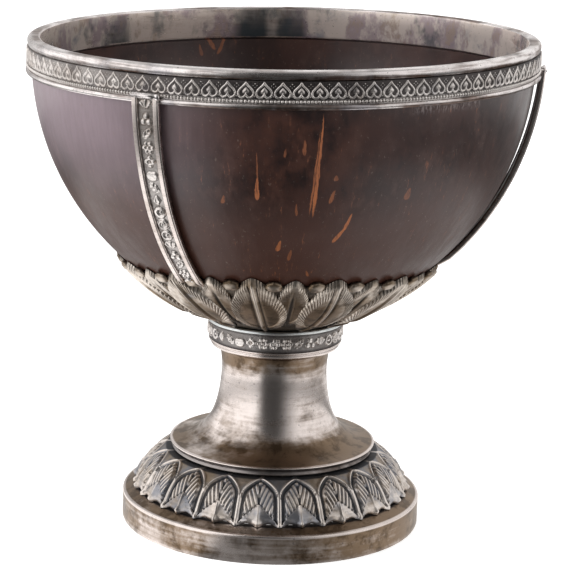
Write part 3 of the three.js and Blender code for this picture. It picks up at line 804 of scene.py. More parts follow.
def finish_tree(w, instances, finish):
    """Turns instances into real meshes, paints them and ends the tree."""
    real = w.node("GeometryNodeRealizeInstances", {0: instances})
    painted = w.node("GeometryNodeSetMaterial", {"Geometry": real.outputs[0], "Material": finish})
    w.node("NodeGroupOutput", {0: painted.outputs[0]})


def copies_round_axis_tree():
    tree, w, given = geometry_group("Copies round the axis", [
        ("Pattern", "NodeSocketObject", None), ("Count", "NodeSocketInt", 12),
        ("First angle", "NodeSocketFloat", 0.0), ("Angle between", "NodeSocketFloat", 0.5),
    ])
    points = w.node("GeometryNodePoints", {"Count": given["Count"]})
    index = w.node("GeometryNodeInputIndex").outputs[0]
    angle = w.plus(w.times(index, given["Angle between"]), given["First angle"])
    euler = w.node("ShaderNodeCombineXYZ", {"Z": angle})
    turn = w.node("FunctionNodeEulerToRotation", {0: euler.outputs[0]})
    pattern = w.node("GeometryNodeObjectInfo", {"Object": given["Pattern"], "As Instance": True})
    copies = w.node("GeometryNodeInstanceOnPoints", {
        "Points": points.outputs[0], "Instance": pattern.outputs["Geometry"],
        "Rotation": turn.outputs[0]})
    finish_tree(w, copies.outputs[0], given["Finish"])
    return tree


def grown(name, tree, values):
    """Runs a node tree on an empty mesh and keeps the result as a plain mesh."""
    host = linked(name, bpy.data.meshes.new(name + "_host"))
    modifier = host.modifiers.new("Pattern", "NODES")
    modifier.node_group = tree
    sockets = {s.name: s.identifier for s in tree.interface.items_tree if s.in_out == "INPUT"}
    for key, value in values.items():
        modifier[sockets[key]] = value
    result = bpy.data.meshes.new_from_object(host.evaluated_get(bpy.context.evaluated_depsgraph_get()))
    host.modifiers.remove(modifier)
    host.data = result
    result.name = name
    return host


round_axis = copies_round_axis_tree()


def copied_round(name, pattern, count, first, slot):
    """Copies of a pattern object round the axis, the first at an angle in degrees."""
    return grown(name, round_axis, {
        "Pattern": pattern, "Count": count, "First angle": math.radians(first),
        "Angle between": 2 * math.pi / count, "Finish": finishes[slot],
    })


def discard(*patterns):
    """Takes pattern pieces out of the scene once their copies are made."""
    for pattern in patterns:
        bpy.data.objects.remove(pattern)


print("tree:", round_axis.name)

# %% [markdown]
# ## Hearts
# Each heart is a raised line in the shape of a spade, point up, with a small solid heart inside
# on a stalk that stands on the line. Small dots fill the corners between. The line is a ribbon of
# five points across, bent along a heart curve and wrapped on the band.

# %% Flat ornament on a cylinder
HEART_COUNT = 96
HEART_WIDTH = 3.35
HEART_HEIGHT = 3.25
HEART_LINE_HALF, HEART_LINE_RISE = 0.27, 0.22
STRIP_RECESS = 0.12
SUNK = -0.05
SHOULDER = 0.85


def wrap(x, y, rise, radius, base):
    """Lays flat ornament on a cylinder: x goes round, y goes up and rise stands out."""
    return on_axis(radius + rise, base + y, np.degrees(x / radius))


def heart_curve(steps, width, height):
    """A closed heart, point up, about its own centre."""
    t = np.linspace(0, 2 * math.pi, steps, endpoint=False)
    x = np.sin(t) ** 3
    y = -(13 * np.cos(t) - 5 * np.cos(2 * t) - 2 * np.cos(3 * t) - np.cos(4 * t)) / 14.5
    return x * width / 2, (y - 0.17) * height / 2


def ribbon(x, y, half_width, rise, radius, base):
    """A raised closed line: a foot and a shoulder on each side of the crest."""
    dx = np.roll(x, -1) - np.roll(x, 1)
    dy = np.roll(y, -1) - np.roll(y, 1)
    length = np.hypot(dx, dy) + 1e-9
    nx, ny = dy / length * half_width, -dx / length * half_width
    rows = [wrap(x + share * nx, y + share * ny, up, radius, base) for share, up in
            ((1.0, SUNK), (0.62, SHOULDER * rise), (0.0, rise), (-0.62, SHOULDER * rise), (-1.0, SUNK))]
    count = len(x)
    faces = []
    for k in range(len(rows) - 1):
        faces += faces_between(k * count, (k + 1) * count, count)
    wear = np.repeat([-0.6, -0.03, 0.17, -0.03, -0.6], count)
    return np.concatenate(rows), faces, wear


def boss(x, y, rise, radius, base, crest_wear):
    """A solid raised shape: an outline at the ground, a smaller one on top, and its middle."""
    count = len(x)
    middle_x, middle_y = x.mean(), y.mean()
    top_x, top_y = middle_x + 0.6 * (x - middle_x), middle_y + 0.6 * (y - middle_y)
    ring = wrap(x, y, SUNK, radius, base)
    top = wrap(top_x, top_y, SHOULDER * rise, radius, base)
    crest = wrap(np.array([middle_x]), np.array([middle_y]), rise, radius, base)
    faces = faces_between(0, count, count)
    faces += [(count + i, count + (i + 1) % count, 2 * count) for i in range(count)]
    wear = np.append(np.repeat([-0.4, crest_wear], count), crest_wear)
    return np.concatenate([ring, top, crest]), faces, wear


def joined(parts):
    """One set of points, faces and wear from several."""
    points, faces, wear = [], [], []
    total = 0
    for p, f, w in parts:
        points.append(p)
        faces += [tuple(i + total for i in face) for face in f]
        wear.append(w)
        total += len(p)
    return np.concatenate(points), faces, np.concatenate(wear)


print("heart pitch", round(2 * math.pi * band_radius / HEART_COUNT, 2), "mm")

# %% [markdown]
# The strip was rolled thin, so its ground keeps a soft grey dirt between the hearts, and a narrow
# dark line runs along the top where it meets the lip. At the left it has been rubbed clean.

# %% Heart strip
LIGHT_LEFT = 0.32
ground = band_radius - STRIP_RECESS
# sideways from the middle between two hearts, up, radius
HEART_DOTS = [
    (0.0, 1.35, 0.16), (-0.42, 0.95, 0.12), (0.42, 0.95, 0.12), (0.0, 0.6, 0.12), (0.0, -1.3, 0.17),
]


def heart_pattern():
    radius, base = ground, (band_low + band_high) / 2 - 0.06
    outline = heart_curve(26, HEART_WIDTH, HEART_HEIGHT)
    line = ribbon(*outline, HEART_LINE_HALF, HEART_LINE_RISE, radius, base)
    x, y = heart_curve(14, HEART_WIDTH * 0.5, HEART_HEIGHT * 0.52)
    inner = boss(x, y - 0.02, 0.17, radius, base, -0.22)
    stalk_x, stalk_y = np.array([-0.12, 0.12, 0.2, -0.2]), np.array([-0.4, -0.4, -1.15, -1.15])
    stalk = boss(stalk_x, stalk_y, 0.2, radius, base, 0.8)
    t = np.linspace(0, 2 * math.pi, 6, endpoint=False)
    half_pitch = math.pi * radius / HEART_COUNT
    dots = [boss(half_pitch + dx + size * np.cos(t), dy + size * np.sin(t), 0.12, radius, base, 0.3)
            for dx, dy, size in HEART_DOTS]
    points, faces, wear = joined([line, inner, stalk, *dots])
    return make_mesh("heart_pattern", points, faces, wear, 0.0, 70)


def lighten_left(piece):
    """Adds wear on the left."""
    share = by_azimuth(piece, (-130, -90, -45, -20), (0.0, 1.0, 0.8, 0.0))
    shift_layer(piece.data, "wear", LIGHT_LEFT * share)


band = turned("heart_band_ground", [
    (BAND_INNER, band_low - 0.2, 0.0),
    (ground, band_low - 0.2, -0.75),
    (ground, band_low + 0.3, -0.68),
    (ground, band_high - 0.5, -0.68),
    (ground, band_high - 0.05, -0.75),
    (ground - 0.2, band_high + 0.15, -0.9),
    (BAND_INNER, band_high + 0.15, 0.0),
], turns=RIM_TURNS)
lighten_left(band)
placed(band, "stamped_silver", "rim_heart_band")

pattern = heart_pattern()
hearts = copied_round("hearts", pattern, HEART_COUNT, 0.0, "stamped_silver")
discard(pattern)
lighten_left(hearts)
placed(hearts, "stamped_silver")

# %% [markdown]
# ## Beads
# The bead row is a wire rolled between grooved dies. Five beads go to a heart, so 480 of them,
# each of only 80 faces, stand in a dark groove.

# %% Bead row
BEAD_COUNT = 480
bead_centre = (bead_low + bead_high) / 2
bead_size = math.pi * bead_radius / BEAD_COUNT * 0.95


def bead_pattern():
    shape = bmesh.new()
    bmesh.ops.create_icosphere(shape, subdivisions=2, radius=bead_size * MM)
    for v in shape.verts:
        v.co.z *= 1.1
        v.co += Vector((0, -(bead_radius - bead_size * 0.9) * MM, bead_centre * MM))
    out = [(-v.co.y / MM - bead_radius + bead_size * 0.9) / bead_size for v in shape.verts]
    wear = [0.85 if o > 0.25 else -0.4 + 2.0 * max(0.0, o) for o in out]
    return from_shape("bead_pattern", shape, wear, 0.0)


groove = turned("bead_groove", [
    (BAND_INNER, bead_low - 0.25, 0.0),
    (bead_radius - 0.45, bead_low - 0.25, -0.4),
    (bead_radius - 0.5, bead_high + 0.25, -0.4),
    (BAND_INNER, bead_high + 0.25, 0.0),
], turns=RIM_TURNS)
placed(groove, "stamped_silver", "rim_bead_wire")
pattern = bead_pattern()
beads = copied_round("beads", pattern, BEAD_COUNT, 0.0, "stamped_silver")
discard(pattern)
placed(beads, "stamped_silver")

# %% [markdown]
# ## Straps
# A strap is a stamped strip framed by two wires, bent to the nut's curve with a little air behind
# it, less of it lower down. At the top its wires lap over the bead row and a cross bar closes
# them, at the bottom it slips behind the leaves. Wires and strip follow one path, so a second
# node tree sweeps a rounded section along it.

# %% Sweeping a section along a path
STRAPS = {"front_left": -28.9, "right": 86.5, "rear_left": 209.0}
STRAP_WIDTH = 6.75
STRAP_NARROWING = 0.085
RAIL_WIDTH = 1.45
RAIL_THICKNESS = 1.35
STRIP_THICKNESS = 0.5
STRIP_RISE, FIGURE_FOOT_RISE, RAIL_RISE = 0.4, 0.74, 0.68
AIR_TOP, AIR_FOOT = 0.95, 0.4
TUCK_DEPTH, TUCK_LENGTH = 1.1, 4.5
PATH_POINTS = 48
STRAP_TOP = length_at(bead_high - 0.15)
STRAP_FOOT = length_at(levels("strap_front_left_strip")[0] + 1.4) + 2.6


def curve_along(w, path):
    """The curve of a path object."""
    source = w.node("GeometryNodeObjectInfo", {"Object": path})
    return w.node("GeometryNodeMeshToCurve", {0: source.outputs["Geometry"]}).outputs[0]


def swept_tree():
    tree, w, given = geometry_group("Section along a path", [
        ("Path", "NodeSocketObject", None), ("Width", "NodeSocketFloat", 0.001),
        ("Thickness", "NodeSocketFloat", 0.001), ("Rounding", "NodeSocketFloat", 0.0003),
    ])
    curve = curve_along(w, given["Path"])
    upright = w.node("GeometryNodeSetCurveNormal", {0: curve}, mode="Z_UP")
    section = w.node("GeometryNodeCurvePrimitiveQuadrilateral", {
        "Width": given["Width"], "Height": given["Thickness"]})
    eased = w.node("GeometryNodeFilletCurve", {
        "Curve": section.outputs[0], "Radius": given["Rounding"], "Count": 4}, mode="POLY")
    swept = w.node("GeometryNodeCurveToMesh", {
        "Curve": upright.outputs[0], "Profile Curve": eased.outputs[0], "Fill Caps": True})
    smooth = w.node("GeometryNodeSetShadeSmooth", {"Geometry": swept.outputs[0]})
    finish_tree(w, smooth.outputs[0], given["Finish"])
    return tree


def line_object(name, points, along, outward):
    """A mesh line that also knows, at each point, which way is along it and which is out."""
    mesh = bpy.data.meshes.new(name)
    mesh.from_pydata(points * MM, [(i, i + 1) for i in range(len(points) - 1)], [])
    for label, values in (("along", along), ("outward", outward)):
        layer = mesh.attributes.new(label, "FLOAT_VECTOR", "POINT")
        layer.data.foreach_set("vector", np.ascontiguousarray(values).ravel())
    return linked(name, mesh)


def strap_path(name, sideways, rise, start, stop):
    """A path up the nut at the front, off to one side and at a rise above the strap's back."""
    up = np.linspace(start, stop, PATH_POINTS)
    share = (up - STRAP_FOOT) / (STRAP_TOP - STRAP_FOOT)
    across = sideways * (1 - STRAP_NARROWING * (1 - share))
    tuck = TUCK_DEPTH * np.clip(1 - (up - STRAP_FOOT) / TUCK_LENGTH, 0, 1)
    points = on_nut(across, up, AIR_FOOT + (AIR_TOP - AIR_FOOT) * share + rise - tuck)
    points[:, 0] = across
    along = np.gradient(points, axis=0)
    along /= np.linalg.norm(along, axis=1, keepdims=True)
    outward = np.cross(along, (1.0, 0.0, 0.0))
    outward *= np.sign(-outward[:, 1])[:, None]
    return line_object(name, points, along, outward)


sweep = swept_tree()
print("strap from", round(STRAP_FOOT, 1), "to", round(STRAP_TOP, 1), "mm up the curve")

# %% [markdown]
# The strip was stamped with a crowd of little figures: rings of petals, shells, leaves, hearts,
# crescents, berries and scrolls. Each is a height field: a small square of points, raised by a
# formula. Where the formula gives nothing there is no face.

# %% Punched figures
def smooth_step(low, high, value):
    """A soft step: 0 at low and 1 at high, which may also be the smaller one."""
    t = np.clip((value - low) / (high - low), 0, 1)
    return t * t * (3 - 2 * t)


def spot(x, y, at_x, at_y, size):
    """A round dot."""
    return smooth_step(size, size * 0.45, np.hypot(x - at_x, y - at_y))


def polar(x, y):
    return np.hypot(x, y), np.arctan2(y, x)


def petal_ring(x, y):
    r, a = polar(x, y)
    petals = smooth_step(1.0, 0.84, r / (0.8 + 0.2 * np.abs(np.cos(3 * a))))
    return petals * smooth_step(0.3, 0.46, r) * (0.7 + 0.3 * np.cos(6 * a)) + spot(x, y, 0, 0, 0.32)


def ring_and_dot(x, y):
    ring = smooth_step(0.2, 0.2 * 0.4, np.abs(np.hypot(x, y) - 0.72))
    return ring + spot(x, y, 0, 0, 0.34)


def shell(x, y):
    r, a = np.hypot(x, y + 0.65), np.arctan2(x, y + 0.65)
    fan = smooth_step(1.55, 1.35, r + 0.12 * np.abs(a)) * smooth_step(1.05, 0.85, np.abs(a))
    return fan * smooth_step(0.1, 0.3, r) * (0.7 + 0.3 * np.cos(9 * a))


def lozenge_leaf(x, y):
    body = smooth_step(1.0, 0.72, np.abs(x) / 0.72 + np.abs(y) / 0.98)
    return body * (1 - 0.35 * smooth_step(0.16, 0.06, np.abs(x)))


def four_petals(x, y):
    r, a = polar(x, y)
    petals = smooth_step(1.0, 0.8, r / (0.5 + 0.45 * np.abs(np.cos(2 * a))))
    return petals * smooth_step(0.2, 0.34, r) + spot(x, y, 0, 0, 0.22)


def slanting_leaf(x, y):
    u, v = x * 0.71 - y * 0.71, x * 0.71 + y * 0.71
    body = smooth_step(1.0, 0.8, np.hypot(u / 0.58, v / 1.05))
    return body * (0.65 + 0.35 * np.sin(9 * (v - np.abs(u)))) * smooth_step(0.0, 0.1, np.abs(u) + 0.03)


def other_leaf(x, y):
    return slanting_leaf(-x, y)


def solid_heart(x, y):
    a, r = np.arctan2(x, y), np.hypot(x, y + 0.1)
    edge = 0.72 + 0.28 * np.abs(np.sin(a)) ** 1.5 - 0.16 * np.cos(a)
    return smooth_step(1.0, 0.78, r / edge) * (1 - 0.25 * r)


def crescent(x, y):
    outer = smooth_step(0.95, 0.8, np.hypot(x, y))
    inner = smooth_step(0.42, 0.58, np.hypot(x - 0.14, y - 0.06))
    return outer * inner + spot(x, y, 0.16, 0.08, 0.3)


def berries(x, y):
    places = (-0.45, -0.35), (0.45, -0.35), (0.0, 0.46)
    return np.maximum.reduce([spot(x, y, *place, 0.54) for place in places])


def scroll(x, y):
    r, a = polar(x, y)
    turn = np.abs(np.mod(r - 0.42 * a / math.pi, 0.42) - 0.21)
    return smooth_step(0.2, 0.08, turn) * smooth_step(1.0, 0.86, r)


FIGURES = [
    petal_ring, shell, crescent, solid_heart, slanting_leaf, ring_and_dot, lozenge_leaf,
    four_petals, berries, scroll, other_leaf,
]
FIGURE_CELLS = 20
FIGURE_RISE = 0.5


def figure_pattern(name, formula, size):
    """One punched figure as a mesh about the origin, its face along +Z."""
    line = np.linspace(-1.05, 1.05, FIGURE_CELLS)
    x, y = np.meshgrid(line, line)
    raised = formula(x, y)
    points = np.stack([x * size, y * size, raised * FIGURE_RISE - 0.1], axis=-1).reshape(-1, 3)
    faces = []
    for i in range(FIGURE_CELLS - 1):
        for j in range(FIGURE_CELLS - 1):
            k = i * FIGURE_CELLS + j
            if raised[i:i + 2, j:j + 2].max() > 0.02:
                faces.append((k, k + 1, k + FIGURE_CELLS + 1, k + FIGURE_CELLS))
    return make_mesh(name, points, faces, np.clip(raised.ravel() * 1.5 - 0.6, -0.5, 0.9), 0.0, 80)


def figure_collection(name, size):
    """The figures as a collection that a tree can pick from."""
    collection = bpy.data.collections.new(name)
    bpy.context.scene.collection.children.link(collection)
    for i, formula in enumerate(FIGURES):
        one = figure_pattern(f"{name}_{i:02d}", formula, size)
        bpy.context.scene.collection.objects.unlink(one)
        collection.objects.link(one)
    return collection


def drop_collection(collection):
    for one in list(collection.objects):
        bpy.data.objects.remove(one)
    bpy.data.collections.remove(collection)


print("figures:", ", ".join(formula.__name__ for formula in FIGURES))

# %% [markdown]
# A third tree sets the figures along a path, evenly spaced. It takes every fourth one of the
# eleven in turn, so that all come and no neighbours are alike. The order says where it begins.

# %% Figures along a path
FIGURE_STEP = 4


def figures_on_path_tree():
    tree, w, given = geometry_group("Figures along a path", [
        ("Path", "NodeSocketObject", None), ("Figures", "NodeSocketCollection", None),
        ("Count", "NodeSocketInt", 16), ("Order", "NodeSocketInt", 1),
    ])
    spaced = w.node("GeometryNodeResampleCurve", {
        "Curve": curve_along(w, given["Path"]), "Count": given["Count"]})
    figures = w.node("GeometryNodeCollectionInfo", {
        "Collection": given["Figures"], "Separate Children": True, "Reset Children": True})
    outward, along = (
        w.node("GeometryNodeInputNamedAttribute", {"Name": layer}, data_type="FLOAT_VECTOR").outputs[0]
        for layer in ("outward", "along"))
    facing = w.node("FunctionNodeAlignRotationToVector", {"Vector": outward}, axis="Z")
    upright = w.node("FunctionNodeAlignRotationToVector", {
        "Rotation": facing.outputs[0], "Vector": along}, axis="Y", pivot_axis="Z")
    index = w.node("GeometryNodeInputIndex").outputs[0]
    turn = w.plus(w.times(index, float(FIGURE_STEP)), given["Order"])
    copies = w.node("GeometryNodeInstanceOnPoints", {
        "Points": spaced.outputs[0], "Instance": figures.outputs[0], "Pick Instance": True,
        "Instance Index": w.math("MODULO", turn, float(len(FIGURES))),
        "Rotation": upright.outputs[0]})
    finish_tree(w, copies.outputs[0], given["Finish"])
    return tree


figures_on_path = figures_on_path_tree()
print("tree:", figures_on_path.name)

# %% [markdown]
# Strip, wires and bar are all made once, at the front, and then turned to the three places. The
# bar leans back a little, so that its face catches the light. It has soft edges and a lump of
# solder at its right end. The wires are browner low down than at the top.

# %% Strap parts at the front
def wear_by_stand_off(piece, low, high):
    """Wear of a swept wire: dark at its foot on the strip, bright along its outer face."""
    _, up, out = from_nut(point_array(piece))
    share = (up - STRAP_FOOT) / (STRAP_TOP - STRAP_FOOT)
    rise = out - AIR_FOOT - (AIR_TOP - AIR_FOOT) * share
    store_layer(piece.data, "wear", np.interp(rise, (low, high), (-0.5, 0.6)))
    store_layer(piece.data, "film", np.interp(share, (0, 0.5, 1), (0.4, 0.1, -0.6)))


BAR_TILT = 0.2
BAR_SIZE = Vector((STRAP_WIDTH + 0.3, 0.95, 1.05))
BAR_ROUNDING = 0.3
SOLDER_RADIUS = 0.6


def strap_head_pattern():
    """The cross bar at the front, with its lump of solder."""
    shape = bmesh.new()
    outer = bead_radius + 0.75
    top = bead_high - 0.05
    made = bmesh.ops.create_cube(shape, size=1.0)
    for v in made["verts"]:
        x, y, z = v.co * BAR_SIZE
        v.co = Vector((x, y - outer + BAR_TILT * z, z + top - 0.4)) * MM
    edges = list(shape.edges)
    bmesh.ops.bevel(shape, geom=edges, offset=BAR_ROUNDING * MM, segments=3, affect="EDGES")
    lump = bmesh.ops.create_icosphere(shape, subdivisions=3, radius=SOLDER_RADIUS * MM)
    for v in lump["verts"]:
        v.co = Vector((v.co.x * 1.2, v.co.y * 0.8, v.co.z * 1.2))
        v.co += Vector((STRAP_WIDTH / 2 - 0.4, -outer - 0.02, top - 0.5)) * MM
    return from_shape("strap_head_pattern", shape, 0.8, -0.5)


rail_shift = (STRAP_WIDTH - RAIL_WIDTH) / 2
strip_line = strap_path("strip_line", 0.0, STRIP_RISE, STRAP_FOOT, STRAP_TOP - 0.6)
figure_line = strap_path("figure_line", 0.0, FIGURE_FOOT_RISE, STRAP_FOOT + 0.8, STRAP_TOP - 2.2)
strip_pattern = grown("strip_pattern", sweep, {
    "Path": strip_line, "Width": (STRAP_WIDTH - 2 * RAIL_WIDTH + 0.2) * MM,
    "Thickness": STRIP_THICKNESS * MM, "Rounding": 0.05 * MM, "Finish": finishes["stamped_silver"],
})
store_layer(strip_pattern.data, "wear", -0.4)
store_layer(strip_pattern.data, "film", 0.0)
rail_lines, rail_patterns = [], []
for side in (-1, 1):
    path = strap_path(f"rail_line_{side}", side * rail_shift, RAIL_RISE, STRAP_FOOT, STRAP_TOP)
    rail_lines.append(path)
    rail = grown(path.name + "_wire", sweep, {
        "Path": path, "Width": RAIL_WIDTH * MM, "Thickness": RAIL_THICKNESS * MM,
        "Rounding": 0.4 * MM, "Finish": finishes["silver"],
    })
    wear_by_stand_off(rail, 0.2, 0.9)
    rail_patterns.append(rail)
head_pattern = strap_head_pattern()
print("rail faces:", len(rail_patterns[0].data.polygons))

# %% [markdown]
# Seventeen figures go down each strap, in another order on each.

# %% The three straps
FIGURES_PER_STRAP = 17
figures = figure_collection("strap_figures", 1.6)

for order, (place, azimuth) in enumerate(STRAPS.items(), start=3):
    strip = copied_round(f"strap_{place}_ground", strip_pattern, 1, azimuth, "stamped_silver")
    placed(strip, "stamped_silver", f"strap_{place}_strip")
    loose = grown(f"strap_{place}_row", figures_on_path, {
        "Path": figure_line, "Figures": figures, "Count": FIGURES_PER_STRAP, "Order": order,
        "Finish": finishes["stamped_silver"],
    })
    row = copied_round(f"strap_{place}_figures", loose, 1, azimuth, "stamped_silver")
    discard(loose)
    placed(row, "stamped_silver")
    for side, rail in zip(("left", "right"), rail_patterns):
        wire = copied_round(f"strap_{place}_{side}_wire", rail, 1, azimuth, "silver")
        placed(wire, "silver", f"strap_{place}_{side}_rail")
    bar = copied_round(f"strap_{place}_bar", head_pattern, 1, azimuth, "silver")
    placed(bar, "silver", f"strap_{place}_head", finish="lip_silver")

discard(strip_line, figure_line, *rail_lines, strip_pattern, *rail_patterns, head_pattern)
drop_collection(figures)

# %% [markdown]
# ## The calyx
# The calyx was cast and then chased: thirteen broad leaves with a raised spine and comb marks
# round the edges, thirteen folded smaller ones between, and a bud in each gap. Underneath is a
# plain dish. Its top edge follows the leaves, a little higher at the front and back of the cup.

# %% Calyx measures
LEAF_PAIRS = 13
CALYX_LEAF_FIRST = -7.9
CALYX_SEAT = 16.2
CALYX_SWAY = 0.085
calyx_low = levels("calyx")[0]
CALYX_FOOT = length_at(NUT_CENTRE - NUT_DEPTH * math.sqrt(1 - ((CALYX_SEAT - 0.5) / NUT_RADIUS) ** 2))
CALYX_KNEE = length_at(NUT_SEAT + 3.4)
LARGE_TIP = length_at(NUT_SEAT + 15.6)
SMALL_TIP = length_at(NUT_SEAT + 15.3)
CALYX_EDGE = length_at(NUT_SEAT + 14.0)


def calyx_air(up):
    """Stand-off of the calyx's plain outside at a length up the nut's curve."""
    return np.interp(up, (CALYX_FOOT, CALYX_KNEE, LARGE_TIP), (2.5, 1.75, 0.75))


def swayed(piece):
    """Stretches a calyx piece upward at the front and back of the cup, and shrinks it beside."""
    azimuth, up, out = from_nut(point_array(piece))
    stretch = 1 + CALYX_SWAY * np.cos(2 * np.radians(azimuth))
    above = np.maximum(up - CALYX_FOOT, 0.0)
    radius, height = off_nut(np.where(up > CALYX_FOOT, CALYX_FOOT + above * stretch, up), out)
    moved = on_axis(radius, height, azimuth) * MM
    piece.data.vertices.foreach_set("co", moved.ravel())
    piece.data.update()
    return piece


print("leaf length", round(LARGE_TIP - CALYX_FOOT, 1), "mm")

# %% [markdown]
# The dish is thin and dark, partly tarnish and partly painted shade, since only slits of it show
# between the leaves.

# %% Calyx dish
def calyx_dish():
    """A thin bowl whose edge follows the leaves."""
    columns = 24 * LEAF_PAIRS
    azimuth = np.arange(columns) * 360.0 / columns
    quarter = np.cos(np.radians((azimuth - CALYX_LEAF_FIRST) * 4 * LEAF_PAIRS))
    rows = [on_axis(np.full(columns, CALYX_SEAT), np.full(columns, calyx_low + 0.02), azimuth)]
    for share in np.linspace(0, 1, 20):
        up = CALYX_FOOT + (CALYX_EDGE + 0.45 * quarter - CALYX_FOOT) * share
        radius, height = off_nut(up, calyx_air(up) - 0.15)
        rows.append(on_axis(radius, np.maximum(height, calyx_low + 0.1), azimuth))
    for share in np.linspace(1, 0, 7):
        up = CALYX_FOOT + (CALYX_EDGE + 0.45 * quarter - CALYX_FOOT) * share
        rows.append(on_axis(*off_nut(up, np.full(columns, 0.25)), azimuth))
    rows.append(on_axis(np.full(columns, CALYX_SEAT - 1.2), np.full(columns, calyx_low + 1.1), azimuth))
    ends = [(0, 0, calyx_low + 0.02), (0, 0, calyx_low + 1.1)]
    # the dark wear and film over the whole dish are partly tarnish and partly painted shade for the
    # slits between the leaves
    return closed_skin("calyx_dish", np.array(rows), ends, -0.5, 0.2)


placed(swayed(calyx_dish()), "chased_silver", "calyx")

# %% [markdown]
# A leaf is laid out like a fan. Its comb marks all run out from one point low on the spine, so the
# mesh does too: its columns leave that point in every direction and end on the leaf's outline.
# The outline is round-shouldered, comes to a blunt point at the top and is drawn in at the foot,
# where neighbouring leaves touch.

# %% Leaf outline
FAN_SHARE = 0.24


def leaf_half(up, foot, tip, half_width, widest, stalk):
    """Half the leaf's width at a length up the curve, below nothing outside it."""
    t = (up - foot) / (tip - foot)
    over = np.clip((t - widest) / (1 - widest), 0, 1)
    under = np.clip((widest - t) / widest, 0, 1)
    shape = (1 - over**1.85) ** 0.74 * (stalk + (1 - stalk) * (1 - under**1.7))
    room = 0.49 * 2 * math.pi * off_nut(up, 2.0)[0] / LEAF_PAIRS
    return np.where((t < 0) | (t > 1), -1.0, np.minimum(half_width * shape, room))


def fan_reach(turn, start, foot, tip, *shape):
    """Distance from the fan's point to the outline in each direction, 0 being straight up."""
    away = np.linspace(0, tip - foot, 500)[:, None]
    inside = leaf_half(start + away * np.cos(turn), foot, tip, *shape) - away * np.abs(np.sin(turn))
    last = np.argmax(inside < 0, axis=0)
    column = np.arange(len(turn))
    before, after = inside[last - 1, column], inside[last, column]
    share = before / np.maximum(before - after, 1e-9)
    return away[last - 1, 0] + share * (away[1, 0] - away[0, 0])


print("fan point at", FAN_SHARE, "of the leaf's length")

# %% [markdown]
# The relief is worked out in the same fan. A soft cushion carries the comb ribs over its outer
# half, finest at the tip and wider apart towards the foot, and a ridge or a fold runs up the
# middle. The outermost row drops below the dish, so that each leaf shows a real edge with a
# shadow under it.

# %% Leaves
FAN_COMBED = 2.0
RIB_SPREAD = 0.06
RIB_RISE = 0.13
FINE_TURNS = 1441


def leaf_pattern(name, foot, tip, shape, rib_pitch, comb_length, rise, spine, lean_over, columns, rows):
    """A leaf at the front. The spine is a ridge when it is above zero and a fold below."""
    start = foot + FAN_SHARE * (tip - foot)
    finely = np.linspace(-math.pi, math.pi, FINE_TURNS)
    directions = np.stack([np.sin(finely), np.cos(finely)], 1)
    outline = fan_reach(finely, start, foot, tip, *shape)[:, None] * directions
    length = np.concatenate([[0.0], np.cumsum(np.hypot(*np.diff(outline, axis=0).T))])
    place = np.linspace(0, length[-1], columns, endpoint=False)
    turn = np.interp(place, length, finely)
    from_tip = np.abs(place - length[FINE_TURNS // 2])
    reach = fan_reach(turn, start, foot, tip, *shape)
    e = (np.linspace(0, 1, rows + 1)[1:, None]) ** 0.8
    to_edge = (1 - e) * reach
    across, up = e * reach * np.sin(turn), start + e * reach * np.cos(turn)
    t = (up - foot) / (tip - foot)
    side, fan = np.abs(across), np.abs(turn)
    edge = smooth_step(0.955, 1.0, e)
    cushion = rise * (1 - 0.28 * e**3) * smooth_step(-0.1, 0.35, t)
    ridge = np.exp(-(side / (0.34 if spine > 0 else 0.45)) ** 2)
    ridge = ridge * (smooth_step(1.0, 0.93, t) if spine > 0 else smooth_step(0.95, 0.6, t))
    gutter = np.exp(-((side - 0.85) / 0.32) ** 2) * smooth_step(1.0, 0.9, t) * (spine > 0)
    comb = np.cos(2 * math.pi * np.log1p(RIB_SPREAD * from_tip) / (RIB_SPREAD * rib_pitch))
    comb = 2 * (0.5 + 0.5 * comb) ** 0.55 - 1
    comb = comb * smooth_step(comb_length, 0.7 * comb_length, to_edge)
    comb = comb * smooth_step(FAN_COMBED, FAN_COMBED - 0.2, fan)
    comb = comb * smooth_step(0.45, 0.9, side)
    height = (cushion + spine * ridge - 0.18 * gutter + RIB_RISE * comb) * (1 - edge) - 0.5 * edge
    grid = on_nut(across + lean_over * np.sin(math.pi * np.clip(t, 0, 1)), up, calyx_air(up) + height)
    wear = 0.75 * comb + (0.95 if spine > 0 else -1.1) * ridge - 0.55 * gutter
    rim = smooth_step(0.7, 0.25, to_edge) * (1 - edge) * smooth_step(0.25, 0.5, t)
    wear = wear + 0.4 * rim - 0.6 * smooth_step(0.35, 0.1, t) - 0.6 * edge
    film = np.broadcast_to(0.9 * smooth_step(0.8, 0.4, e) + 0.1, (rows, columns))
    under_reach = 0.93 * reach
    under_across, under_up = under_reach * np.sin(turn), start + under_reach * np.cos(turn)
    under = on_nut(under_across, under_up, np.full(columns, -0.1))
    poles = np.vstack([on_nut(0.0, start, float(calyx_air(start)) + rise), on_nut(0.0, start, -0.2)])
    grid = np.vstack([grid, under[None]])
    wear = np.vstack([wear, np.full(columns, -0.9)])
    film = np.vstack([film, np.zeros(columns)])
    return closed_skin(name, grid, poles, wear, film, 60)


